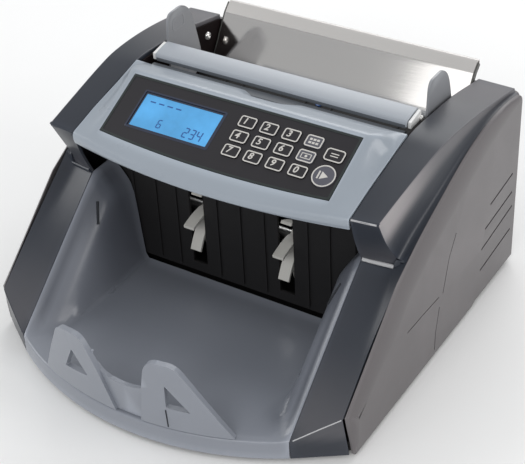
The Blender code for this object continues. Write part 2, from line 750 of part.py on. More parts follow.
def build_pocket_wall():
    loops = [[(-97.6, 19.6), (97.6, 19.6), (97.6, 134.0), (-97.6, 134.0)]]
    loops += [[(a - 1.5, 27.0), (b + 1.5, 27.0), (b + 1.5, 89.0), (a - 1.5, 89.0)] for a, b in WHEEL_X]
    bm = plate(loops, along_y, -1.6, 0.4)
    place(bm, "pocket_wall", "black")


def build_rear_cover():
    loops = [rounded_rect(-128.4, SKIRT_Z + 0.2, 128.4, 131.5, 4.0, 2),
             rounded_rect(-98.3, 16.7, -69.7, 39.3, 2.0, 1),
             rounded_rect(-60.3, 17.7, -45.7, 38.3, 1.0, 1),
             circle(-30.0, 28.0, 6.3, 16)]
    bm = plate(loops, along_y, REAR_Y - REAR_T, REAR_Y)
    place(bm, "rear_cover", "warm_grey")


def build_rear_fittings():
    outer = rounded_rect(-98.0, 17.0, -70.0, 39.0, 2.0, 1)
    inner = rounded_rect(-95.4, 19.6, -72.6, 36.4, 2.0, 1)
    n = len(outer)
    rows = [(outer, 118.0), (outer, REAR_Y + 0.2), (inner, REAR_Y + 0.2), (inner, 122.0)]
    points = [(x, y, z) for loop, y in rows for x, z in loop]
    faces = [list(range(n)), [3 * n + i for i in range(n)]]
    for k in range(3):
        faces += [[k * n + i, k * n + (i + 1) % n, (k + 1) * n + (i + 1) % n, (k + 1) * n + i] for i in range(n)]
    place(from_faces(points, faces), "power_inlet", "black")
    outer = rounded_rect(-60.0, 18.0, -46.0, 38.0, 1.0, 1)
    inner = rounded_rect(-58.0, 20.0, -48.0, 36.0, 0.6, 1)
    rows = [(outer, 122.0), (outer, REAR_Y + 0.2), (inner, REAR_Y + 0.2), (inner, 127.0)]
    points = [(x, y, z) for loop, y in rows for x, z in loop]
    place(from_faces(points, faces), "switch_frame", "black")
    rocker = [(133.0, 21.2), (136.0, 21.0), (139.0, 21.6), (137.4, 28.0), (136.2, 35.2), (133.0, 34.8), (131.0, 28.0)]
    bm = plate([rocker], along_x, -57.4, -48.6)
    place(bm, "switch_rocker", "black", origin=(-53.0, 133.0, 28.0))
    bm = plate([circle(-30.0, 28.0, 6.0, 16)], along_y, 120.0, REAR_Y + 1.6)
    place(bm, "fuse_holder", "black", smooth=40)


def build_electronics():
    bm = box_bm((-112.6, 22.0, 24.0), (-111.0, 118.0, 92.0))
    place(bm, "main_board", "board")
    bm = box_bm((-92.0, 56.0, 9.0), (-44.0, 104.0, 44.0))
    bevel(place(bm, "power_supply", "zinc"), 1.0)


def main():
    for obj in list(bpy.data.objects):
        bpy.data.objects.remove(obj, do_unlink=True)
    make_materials()
    build_base_pan()
    build_feet()
    for word, side in (("left", -1.0), ("right", 1.0)):
        build_side_cover(f"side_cover_{word}", side)
        build_side_frame(f"side_frame_{word}", side)
        build_mech_plate(f"mech_plate_{word}", side)
        build_guide(f"note_guide_{word}", side)
    build_front_tray()
    build_note_stop()
    build_bezel()
    build_overlay()
    build_keys()
    build_lcd()
    build_control_board()
    build_hopper_bar()
    build_hopper_plate()
    build_hopper_floor()
    build_shafts()
    build_rollers()
    build_stacker_wheels()
    build_pulleys()
    build_belt()
    build_motor()
    build_pocket_wall()
    build_rear_cover()
    build_rear_fittings()
    build_electronics()


main()
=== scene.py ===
"""Looks of the banknote counting machine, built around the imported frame.

Shapes are drawn in millimetres, as in the part's own source: +X right, +Y rear, +Z up.
"""

from math import cos, pi, radians, sin, sqrt, tan

import bmesh
import bpy
import numpy as np
from mathutils import Matrix, Vector
from mathutils.geometry import delaunay_2d_cdt


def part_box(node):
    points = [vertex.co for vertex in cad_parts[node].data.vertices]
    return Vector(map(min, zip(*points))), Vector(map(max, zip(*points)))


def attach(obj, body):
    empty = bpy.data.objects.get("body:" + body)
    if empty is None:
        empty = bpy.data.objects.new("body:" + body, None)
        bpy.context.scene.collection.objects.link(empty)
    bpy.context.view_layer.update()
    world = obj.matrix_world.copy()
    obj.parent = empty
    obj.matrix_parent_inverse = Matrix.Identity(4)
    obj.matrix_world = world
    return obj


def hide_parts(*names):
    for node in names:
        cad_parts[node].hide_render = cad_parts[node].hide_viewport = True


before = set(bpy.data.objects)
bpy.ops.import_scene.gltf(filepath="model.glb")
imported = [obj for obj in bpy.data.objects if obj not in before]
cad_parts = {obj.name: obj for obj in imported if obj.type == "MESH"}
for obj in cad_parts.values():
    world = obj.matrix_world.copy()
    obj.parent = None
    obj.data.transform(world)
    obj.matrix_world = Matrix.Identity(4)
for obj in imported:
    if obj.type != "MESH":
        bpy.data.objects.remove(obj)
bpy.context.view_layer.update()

MM = 0.001
CENTRE_Y = -2.29         # from the drawings' origin to the middle of the footprint

# Housing
HALF_W = 132
COVER_T = 3
FRONT_R = 190.9
FRONT_CY = 53
SKIRT_Z = 3.2
BAND_TOP = 16.2
FRAME_IN = 100.3
FRAME_T = 1.8
LIP_X = 128.7
REAR_Y = 137.6

# Control panel
PANEL_Y = -30.1
PANEL_Z = 132.7
PANEL_TILT = radians(25.67)
OVERLAY_HALF = 82.9
OVERLAY_TOP = 45.6
OVERLAY_BOW = 4.3
GAP = 0.3
LCD = (-67.4, 9.3, -8.2, 35.5)
KEY_PROUD = 0.6
KEY_DEPTH = 3.2
BEZEL_HALF = 99.7

# Hopper
BAR_AXIS = (59.6, 144.2)
PLATE_HALF = 97.4
GUIDE_IN = 96.4

# Drive: each shaft's axis (y, z), ends and radius, and the radius of its pulley
DRIVE = {
    "pickup": ((80, 93), (-104, 121), 4, 12),
    "feed": ((54, 84), (-104, 121), 4, 8.3),
    "stacker": ((18, 58), (-104, 121), 4, 16),
    "motor": ((95, 40), (-14, 120), 3, 8),
}
AXIS = {name: row[0] for name, row in DRIVE.items()}
SIDES = ("left", "right")
TYRES = {"left": (-44, -20), "right": (20, 44)}
FANS = {"left": (-38, -30), "right": (30, 38)}


# ---- materials

def feed(tree, node, inputs):
    """Set each input of a node to a number, or link it to a socket."""
    for key, value in inputs.items():
        if isinstance(value, bpy.types.NodeSocket):
            tree.links.new(value, node.inputs[key])
        else:
            node.inputs[key].default_value = value


def add_node(tree, kind, inputs, out=0, **settings):
    """Add a node and return one of its outputs."""
    node = tree.nodes.new("ShaderNode" + kind)
    for key, value in settings.items():
        setattr(node, key, value)
    feed(tree, node, inputs)
    return node.outputs[out]


def mix_colour(tree, factor, a, b):
    return add_node(tree, "Mix", {0: factor, 6: a, 7: b}, 2, data_type="RGBA")


def ranged(tree, value, low, high, to_low=0, to_high=1):
    return add_node(tree, "MapRange", {"Value": value, "From Min": low, "From Max": high,
                                       "To Min": to_low, "To Max": to_high})


def noise(tree, where, scale, detail=3, rough=0.5):
    return add_node(tree, "TexNoise", {"Vector": where, "Scale": scale, "Detail": detail, "Roughness": rough})


def shade(colour, by):
    return (*(min(1, c * by) for c in colour), 1)


MATERIALS = {}


def finish(name, colour, rough, metal=0, drift=0.035, patch=14, rough_drift=0.03, grain=0.05,
           grain_scale=2600, stretch=(1, 1, 1), tone_and_painted_light=None, wear_and_highlight=0, glow=0, coat=0, specular=0.5):
    """Surface whose colour drifts over centimetres, with a fine grain, uneven gloss and lighter edges, partly
    worn and partly a painted highlight.

    A second colour is mixed in by a per-vertex attribute of the mesh; the meshes use it for a second paint
    colour and for painted shade and sheen.
    """
    MATERIALS[name] = m = bpy.data.materials.new(name)
    m.use_nodes = True
    tree = m.node_tree
    shader = tree.nodes["Principled BSDF"]
    where = add_node(tree, "TexCoord", {}, "Object")
    where = add_node(tree, "Mapping", {"Scale": stretch, "Vector": where})
    cloud = noise(tree, where, patch, 4, 0.6)

    def drifting(c):
        return mix_colour(tree, ranged(tree, cloud, 0.3, 0.7), shade(c, 1 - drift), shade(c, 1 + drift))

    base = drifting(colour)
    if tone_and_painted_light:
        amount = add_node(tree, "Attribute", {}, "Fac", attribute_name="tone_and_painted_light")
        base = mix_colour(tree, amount, base, drifting(tone_and_painted_light))
    if wear_and_highlight:
        # Sharp edges are lightened: partly worn, partly a painted highlight along them.
        edge = add_node(tree, "NewGeometry", {}, "Pointiness")
        wear_and_highlight_colour = shade(colour, 2.2 if metal < 0.5 else 1.2)
        base = mix_colour(tree, ranged(tree, edge, 0.515, 0.58, 0, wear_and_highlight), base, wear_and_highlight_colour)
    gloss = noise(tree, where, patch * 2.6, 3, 0.55)
    feed(tree, shader, {
        "Base Color": base, "Metallic": metal, "Specular IOR Level": specular,
        "Roughness": ranged(tree, gloss, 0.25, 0.75, rough - rough_drift, rough + rough_drift)})
    if coat:
        feed(tree, shader, {"Coat Weight": coat, "Coat Roughness": 0.12})
    if grain:
        height = noise(tree, where, grain_scale, 2, 0.6)
        bump = add_node(tree, "Bump", {"Strength": grain, "Distance": 0.0003, "Height": height})
        feed(tree, shader, {"Normal": bump})
    if glow:
        feed(tree, shader, {"Emission Color": base, "Emission Strength": glow})


# Colours are linear
SLATE = (0.026, 0.03, 0.04)
WARM = (0.112, 0.103, 0.106)
# Light grey of the flank, also mixed into the slate as painted sheen and painted light on the shoulder and
# wing
FLANK_GREY_AND_SHEEN = (0.3, 0.28, 0.286)
TRAY = (0.23, 0.245, 0.28)

finish("slate", SLATE, 0.34, specular=0.42, tone_and_painted_light=FLANK_GREY_AND_SHEEN, wear_and_highlight=0.2)
finish("warm_grey", WARM, 0.34, drift=0.03, wear_and_highlight=0.25, specular=0.4)
finish("silver_blue", (0.29, 0.325, 0.368), 0.3, drift=0.025, wear_and_highlight=0.2, coat=0.25)
finish("bar", (0.305, 0.328, 0.36), 0.32, drift=0.025, wear_and_highlight=0.2, coat=0.15)
# A darker copy of the bar's grey, painted shade
finish("bar_painted_shade", (0.096, 0.105, 0.118), 0.42, wear_and_highlight=0.1)
# The tray's second colour is a darker grey that paints shade
finish("tray_grey", TRAY, 0.3, drift=0.025, tone_and_painted_light=(0.085, 0.092, 0.112), wear_and_highlight=0.22, coat=0.1)
# Light grey for the beads that paint highlight lines
finish("highlight_bead", (0.42, 0.42, 0.43), 0.26)
finish("seam", (0.026, 0.028, 0.033), 0.6, specular=0.2)
finish("overlay", (0.017, 0.0155, 0.0185), 0.5, drift=0.06, specular=0.35, grain=0.1, grain_scale=1500)
finish("rim", (0.018, 0.024, 0.023), 0.35, wear_and_highlight=0.1)
finish("key", (0.018, 0.0165, 0.0195), 0.46, specular=0.35, grain=0.1, grain_scale=1500)
finish("key_grey", (0.085, 0.085, 0.105), 0.42, grain=0.1, grain_scale=1500)
finish("ink", (0.56, 0.54, 0.51), 0.5, grain=0.04)
finish("lcd", (0.078, 0.315, 0.61), 0.24, drift=0.16, patch=34, grain=0, glow=0.22, coat=0.2)
finish("lcd_frame", (0.02, 0.026, 0.05), 0.3, coat=0.3)
finish("segment", (0.03, 0.1, 0.3), 0.25, grain=0)
finish("satin", (0.6, 0.58, 0.56), 0.34, metal=0.35, drift=0.03, grain=0.06, grain_scale=900,
       stretch=(0.05, 1, 1))
# A dark copy of the steel, painted shade on the plate's folded side edges
finish("shaded_hem", (0.105, 0.105, 0.098), 0.45, metal=0.6)
finish("steel", (0.66, 0.64, 0.62), 0.085, metal=1, drift=0.04, rough_drift=0.02, grain=0.05,
       grain_scale=900, stretch=(0.05, 1, 1), wear_and_highlight=0.2)
finish("guide", (0.245, 0.252, 0.268), 0.3, wear_and_highlight=0.25, coat=0.15)
finish("dark_steel", (0.007, 0.0038, 0.004), 0.75, specular=0.1, drift=0.2, wear_and_highlight=0.2)
finish("rubber", (0.03, 0.03, 0.032), 0.72, drift=0.2, grain=0.25, grain_scale=1200, wear_and_highlight=0.2)
finish("board", (0.02, 0.11, 0.055), 0.42, drift=0.2, patch=120)
finish("black", (0.01, 0.0095, 0.01), 0.55, specular=0.3, drift=0.15, grain=0.12, wear_and_highlight=0.12)
finish("nylon", (0.5, 0.49, 0.46), 0.45, drift=0.06)
finish("zinc", (0.52, 0.52, 0.51), 0.34, metal=1, drift=0.12, patch=90, rough_drift=0.12, wear_and_highlight=0.3)
finish("bright", (0.78, 0.77, 0.75), 0.24, metal=0.7, drift=0.05)
finish("clip", (0.8, 0.8, 0.79), 0.35, drift=0.02)
finish("copper", (0.56, 0.24, 0.11), 0.38, metal=1, drift=0.1)
finish("floor", (0.86, 0.858, 0.852), 0.62, drift=0.01, patch=3, grain=0.03, grain_scale=500)


# ---- mesh tools

def from_faces(points, faces):
    bm = bmesh.new()
    verts = [bm.verts.new(p) for p in points]
    for f in faces:
        bm.faces.new([verts[i] for i in f])
    return bm


def between_rings(count, n, closed=False):
    """Faces that join `count` successive rings of n points."""
    steps = [(i * n, (i + 1) % count * n) for i in range(count if closed else count - 1)]
    return [(a + k, a + (k + 1) % n, b + (k + 1) % n, b + k) for a, b in steps for k in range(n)]


def to_mesh(bm, name):
    """The finished mesh of `bm`, which is freed."""
    mesh = bpy.data.meshes.new(name)
    bm.to_mesh(mesh)
    bm.free()
    return mesh


def placed(name, data):
    """A new object in the scene."""
    obj = bpy.data.objects.new(name, data)
    bpy.context.scene.collection.objects.link(obj)
    return obj


def contains(loop, u, v):
    inside = False
    for (u0, v0), (u1, v1) in zip(loop, loop[1:] + loop[:1]):
        if (v0 > v) != (v1 > v) and u < u0 + (v - v0) / (v1 - v0) * (u1 - u0):
            inside = not inside
    return inside


def fill(loops):
    """Triangles of a flat region bounded by the first loop, less the others."""
    points, edges = [], []
    for loop in loops:
        start, n = len(points), len(loop)
        points += [Vector(p) for p in loop]
        edges += [(start + i, start + (i + 1) % n) for i in range(n)]
    flat, _, faces, *_ = delaunay_2d_cdt(points, edges, [], 1, 1e-5)
    tris = []
    for f in faces:
        u, v = (sum(flat[i][k] for i in f) / 3 for k in (0, 1))
        if sum(contains(loop, u, v) for loop in loops) == 1:
            tris.append(f)
    return flat, tris


def soften(bm, width, segments=2, angle=38):
    """Round every edge sharper than `angle` degrees."""
    if width:
        bm.normal_update()
        limit = radians(angle)
        edges = [e for e in bm.edges if len(e.link_faces) == 2 and e.calc_face_angle(0) > limit]
        bmesh.ops.bevel(bm, geom=edges, offset=width, offset_type="OFFSET", segments=segments,
                        profile=0.5, affect="EDGES", clamp_overlap=True)
    return bm


def thicken(bm, step):
    """Extrude a flat mesh by a step."""
    out = bmesh.ops.extrude_face_region(bm, geom=list(bm.faces))
    for item in out["geom"]:
        if isinstance(item, bmesh.types.BMVert):
            item.co += step
    bmesh.ops.recalc_face_normals(bm, faces=bm.faces)


def flat_face(loops, place_at, near):
    """The region between flat loops; `place_at(u, v, w)` gives the point."""
    flat, tris = fill(loops)
    bm = from_faces([place_at(u, v, near) for u, v in flat], tris)
    bmesh.ops.dissolve_limit(bm, angle_limit=0.001, verts=bm.verts, edges=bm.edges)
    return bm


def plate(loops, place_at, near, far, round_off=0, segments=2):
    """Extrude flat loops between two offsets."""
    bm = flat_face(loops, place_at, near)
    thicken(bm, Vector(place_at(0, 0, far)) - Vector(place_at(0, 0, near)))
    return soften(bm, round_off, segments)


def along_x(y, z, x):
    return (x, y, z)


def along_y(x, z, y):
    return (x, y, z)


def on_panel(x, v, h):
    """A point on the control panel: x across, v up the slope, h above the surface."""
    c, s = cos(PANEL_TILT), sin(PANEL_TILT)
    return (x, PANEL_Y + v * c - h * s, PANEL_Z + v * s + h * c)


def rect(x0, y0, x1, y1):
    return [(x0, y0), (x1, y0), (x1, y1), (x0, y1)]


def rounded_rect(x0, y0, x1, y1, r, steps=4):
    corners = ((x1 - r, y1 - r, 0), (x0 + r, y1 - r, 90), (x0 + r, y0 + r, 180), (x1 - r, y0 + r, 270))
    out = []
    for cx, cy, start in corners:
        for i in range(steps + 1):
            a = radians(start + 90 * i / steps)
            out.append((cx + r * cos(a), cy + r * sin(a)))
    return out


def circle(cx, cy, r, n=28):
    turn = 2 * pi / n
    return [(cx + r * cos(i * turn), cy + r * sin(i * turn)) for i in range(n)]


def repeated(centre, n, marks):
    """An outline of (radius, angle) marks repeated n times round a centre."""
    turns = [2 * pi * i / n for i in range(n)]
    return [(centre[0] + r * cos(a + t), centre[1] + r * sin(a + t)) for a in turns for r, t in marks]


def revolve(profile, centre, n=40, axis=0):
    """Turn a closed (along, radius) profile about the X, Y or Z axis through a point of the other two."""
    points = []
    for i in range(n):
        a = 2 * pi * i / n
        for d, r in profile:
            p = [centre[0] + r * cos(a), centre[1] + r * sin(a)]
            p.insert(axis, d)
            points.append(p)
    return from_faces(points, between_rings(n, len(profile), True))


def turned(profile, centre, n=40, axis=0):
    """A solid of revolution from an open (along, radius) profile that starts and ends on the axis."""
    bm = revolve(profile, centre, n, axis)
    bmesh.ops.remove_doubles(bm, verts=bm.verts, dist=1e-5)
    return bm


def corner(before, at, after, r, steps):
    """The curve that rounds off one corner."""
    a, b = before - at, after - at
    p0 = at + a.normalized() * min(r, 0.45 * a.length)
    p1 = at + b.normalized() * min(r, 0.45 * b.length)
    shares = [i / steps for i in range(steps + 1)]
    return [(1 - t) ** 2 * p0 + 2 * t * (1 - t) * at + t * t * p1 for t in shares]


def rounded(points, radii, steps=4, fine=1):
    """A polyline with its inner corners rounded off; its straight stretches are cut into `fine` pieces."""
    pts = [Vector(p) for p in points]
    out = [pts[0]]
    for before, at, after, r in zip(pts, pts[1:], pts[2:], radii):
        curve = corner(before, at, after, r, steps)
        last = out[-1]
        out += [last.lerp(curve[0], i / fine) for i in range(1, fine)] + curve
    last = out[-1]
    return out + [last.lerp(pts[-1], i / fine) for i in range(1, fine + 1)]


def flat_loop(points, radii, steps=4):
    """A closed flat outline with its corners rounded off."""
    pts = [Vector((*p, 0)) for p in points]
    out = []
    for i, (at, r) in enumerate(zip(pts, radii)):
        out += corner(pts[i - 1], at, pts[(i + 1) % len(pts)], r, steps) if r > 0 else [at]
    return [(p.x, p.y) for p in out]


def through(points, pieces):
    """Catmull-Rom curve through points, `pieces` steps to each span."""
    pts = [Vector(p) for p in points]
    pts = [2 * pts[0] - pts[1], *pts, 2 * pts[-1] - pts[-2]]
    out = []
    for a, b, c, d in zip(pts, pts[1:], pts[2:], pts[3:]):
        for i in range(pieces):
            t = i / pieces
            out.append(0.5 * (2 * b + (c - a) * t + (2 * a - 5 * b + 4 * c - d) * t * t
                              + (3 * b - a - 3 * c + d) * t ** 3))
    out.append(pts[-2])
    return out


def sheet(rows, thickness, outward, skip=None, tone_and_painted_light=None):
    """A curved sheet through a grid of points, thickened away from `outward`; an optional function of (i, j,
    point) gives each point's share of the second colour, which paints shade and sheen.
    """
    grid = np.array([[tuple(p) for p in row] for row in rows], float)
    normal = np.cross(np.gradient(grid, axis=1), np.gradient(grid, axis=0))
    normal /= np.linalg.norm(normal, axis=2, keepdims=True) + 1e-12
    if (normal @ np.array(outward, float)).sum() < 0:
        normal = -normal
    bm = bmesh.new()
    layer = bm.verts.layers.float.new("tone_and_painted_light")

    def points(values):
        made = [[bm.verts.new(p) for p in row] for row in values]
        if tone_and_painted_light:
            for i, row in enumerate(made):
                for j, v in enumerate(row):
                    v[layer] = tone_and_painted_light(i, j, grid[i, j])
        return made

    top, low = points(grid), points(grid - normal * thickness)
    rim = {}
    for i in range(len(rows) - 1):
        for j in range(len(rows[0]) - 1):
            if skip and skip(i, j):
                continue
            corners = ((i, j), (i, j + 1), (i + 1, j + 1), (i + 1, j))
            bm.faces.new([top[a][b] for a, b in corners])
            bm.faces.new([low[a][b] for a, b in reversed(corners)])
            for a, b in zip(corners, corners[1:] + corners[:1]):
                key = (min(a, b), max(a, b))
                rim[key] = rim.get(key, 0) + 1
    for (a, b), count in rim.items():
        if count == 1:
            bm.faces.new((top[a[0]][a[1]], top[b[0]][b[1]], low[b[0]][b[1]], low[a[0]][a[1]]))
    bmesh.ops.delete(bm, geom=[v for v in bm.verts if not v.link_faces], context="VERTS")
    bmesh.ops.recalc_face_normals(bm, faces=bm.faces)
    return bm


def ribbon(path, near, far):
    """Closed flat outline between two offsets to the left of a flat path."""
    pts = [Vector(p) for p in path]
    ways = [b - a for a, b in zip([pts[0], *pts], [*pts[1:], pts[-1]])]
    sides = [Vector((-w.y, w.x)).normalized() for w in ways]
    left, right = ([tuple(p + n * d) for p, n in zip(pts, sides)] for d in (near, far))
    return [*left, *reversed(right)]


def bead(path, radius, n=8):
    """A round bead along an open path, with closed ends."""
    pts = [Vector(p) for p in path]
    points = []
    for i, p in enumerate(pts):
        way = (pts[min(i + 1, len(pts) - 1)] - pts[max(i - 1, 0)]).normalized()
        side = way.orthogonal().normalized() if i == 0 else (side - way * side.dot(way)).normalized()
        up = way.cross(side)
        for k in range(n):
            a = 2 * pi * k / n
            points.append(p + side * (radius * cos(a)) + up * (radius * sin(a)))
    ends = [range(n), range(len(points) - 1, len(points) - n - 1, -1)]
    return from_faces(points, between_rings(len(pts), n) + ends)


def glyph(text, size, centre, place_at, low, high, slant=0.15, bold=0.02):
    """A numeral as thin raised print."""
    curve = bpy.data.curves.new("numeral", "FONT")
    curve.body = text
    curve.size = size
    curve.shear = slant
    curve.offset = bold * size
    curve.align_x, curve.align_y = "CENTER", "CENTER"
    curve.resolution_u = 3
    curve.extrude = 0.5
    made = placed("numeral", curve)
    bpy.context.view_layer.update()
    mesh = bpy.data.meshes.new_from_object(made.evaluated_get(bpy.context.evaluated_depsgraph_get()))
    bm = bmesh.new()
    bm.from_mesh(mesh)
    bpy.data.objects.remove(made, do_unlink=True)
    bpy.data.meshes.remove(mesh)
    bpy.data.curves.remove(curve)
    for v in bm.verts:
        v.co = place_at(centre[0] + v.co.x, centre[1] + v.co.y, low + (high - low) * (v.co.z + 0.5))
    return bm


class Piece:
    """One object made of several meshes, each in its own material or else the slot's."""

    def __init__(self, name, slot, *replaced, body="housing", mirror=False):
        self.name, self.slot, self.replaced, self.body, self.mirror = name, slot, replaced, body, mirror
        self.bm = bmesh.new()
        self.bm.verts.layers.float.new("tone_and_painted_light")
        self.materials = []

    def add(self, bm, material=None, mirror=False):
        material = material or self.slot
        if material not in self.materials:
            self.materials.append(material)
        if mirror or self.mirror:
            bmesh.ops.scale(bm, vec=(-1, 1, 1), verts=bm.verts)
        bmesh.ops.recalc_face_normals(bm, faces=bm.faces)
        for f in bm.faces:
            f.material_index = self.materials.index(material)
        mesh = to_mesh(bm, "part")
        self.bm.from_mesh(mesh)
        bpy.data.meshes.remove(mesh)

    def plate(self, loops, place_at, near, far, round_off=0, material=None, mirror=False):
        self.add(plate(loops, place_at, near, far, round_off), material, mirror)

    def done(self, smooth=34):
        for v in self.bm.verts:
            v.co = (v.co + Vector((0, CENTRE_Y, 0))) * MM
        mesh = to_mesh(self.bm, self.name)
        for name in self.materials:
            mesh.materials.append(MATERIALS[name])
        mesh.shade_smooth()
        mesh.set_sharp_from_angle(angle=radians(smooth))
        obj = placed(self.name, mesh)
        weigh = obj.modifiers.new("Weighted normals", "WEIGHTED_NORMAL")
        weigh.keep_sharp = True
        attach(obj, self.body)
        if self.replaced:
            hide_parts(*self.replaced)


def sided(word, name, slot, node, body="housing"):
    """A piece drawn for the right side and mirrored for the left."""
    return Piece(f"{word}_{name}", slot, f"{node}_{word}", body=body, mirror=word == "left")


def lerp(table, t):
    """Value at t of a piecewise straight line given as (t, value) pairs."""
    if t <= table[0][0]:
        return table[0][1]
    for (t0, v0), (t1, v1) in zip(table, table[1:]):
        if t <= t1:
            return v0 + (v1 - v0) * (t - t0) / (t1 - t0)
    return table[-1][1]


def ease(low, high, t):
    t = min(max((t - low) / (high - low), 0), 1)
    return t * t * (3 - 2 * t)


def arc_y(x, r=FRONT_R):
    return FRONT_CY - sqrt(r * r - x * x)


def screw(x, y, z, axis, way, head=3):
    """A pan-head screw whose head stands off a face, towards `way` along `axis`, with a round recess in its
    top.
    """
    profile = [(0, 0), (0, head), (0.5, head), (1.2, head * 0.86), (1.7, head * 0.5), (1.8, head * 0.42),
               (1, head * 0.16), (1, 0)]
    centre = [x, y, z]
    base = centre.pop(axis)
    return turned([(base + way * d, r) for d, r in profile], centre, 20, axis)


# ---- housing

# Lines along the side as (y, z), and the shoulder's outer edge as (x, y, z)
SHOULDER_IN = ((-36.2, 129.1), (-13.4, 135.5), (14.7, 141.6), (34.1, 146.6),
               (52.2, 146.7), (96.8, 142.5), (136.1, 134.9))
SHOULDER_OUT = ((118.7, -36.3, 130.7), (120, -12, 136), (121.9, 20.8, 142.6), (123, 40.7, 145.1),
                (124.2, 67.1, 144.6), (125.3, 96.9, 141.3), (126, 134, 134.8))
PANEL_EDGE = ((-98.1, 38.4), (-36, 93.5), (-10.5, 107.1), (12.3, 116.9), (24, 121.3),
              (31.8, 124.6), (56, 132.8), (83, 137.6), (110, 137.2), (131, 133.6))
COVER_EDGE = ((-92.7, 33.7), (-30.6, 88.8), (-5.1, 102.4), (17.7, 112.2), (29.4, 116.6),
              (37.2, 119.9), (60.9, 128.6), (86.8, 134), (112.4, 134.6), (131, 132.4))
COVER_LEAN = 3.6
WING = ((-108.6, 17.6), (-60, 60), (-22.8, 92))
# Where the valley between shoulder and cover runs, and its depth below the panel's edge
VALLEY_Y = (-16.5, 0, 26, 44, 68, 97, 133.2)
VALLEY_X = (120.8, 121.6, 123.4, 124.3, 125.2, 125.9, 126.4)
VALLEY_DROP = (8, 6.5, 5.5, 4.5, 3, 1.6, 0.5)


def lean(y):
    """Share of the full inward lean of the cover's top edge at y."""
    return lerp(((40, 1), (60, 0.9), (86, 0.7), (112, 0.45), (131, 0.2)), y)


def lip(y):
    """Where the side frame meets the cover's top edge."""
    joint = 1.1 + 1.3 * (1 - ease(-30, -4, y))
    return (min(HALF_W - COVER_LEAN * lean(y) - joint, LIP_X), y, lerp(COVER_EDGE, y) - 0.5)


def wing_rows():
    return [
        [(100.2, -109.5, 3.4), (115, -99.4, 3.4), (124.5, -92.9, 3.4), (LIP_X, -90, 3.4)],
        [(100.2, -109.7, 16.6), (115, -101.3, 26.5), (124, -95.7, 32), (126.6, -94, 33.6)],
        [(100.2, -60, 60), (112, -60, 60.2), (122, -60, 61.4), lip(-58)],
        [(FRAME_IN, -22.8, 92), (109, -20.8, 90.6), (118, -18.4, 89.6), lip(-14)],
    ]


def shoulder_sections():
    """Sections across the shoulder: flange, inner edge, outer edge, hollow flank, valley and lip."""
    out = []
    for k, b in enumerate(SHOULDER_OUT):
        y = b[1]
        a = (FRAME_IN, y, lerp(SHOULDER_IN, y))
        flange = 3 + 9 * ease(-36, 6, y)
        d = (VALLEY_X[k], VALLEY_Y[k], lerp(PANEL_EDGE, VALLEY_Y[k]) - 0.6 - VALLEY_DROP[k])
        bow = 1.6 * (1 - k / 6)
        c = (0.45 * b[0] + 0.55 * d[0] - bow, 0.45 * b[1] + 0.55 * d[1], 0.45 * b[2] + 0.55 * d[2] - bow)
        out.append([(FRAME_IN, y, a[2] - flange), a, b, c, d, lip(VALLEY_Y[k])])
    return out


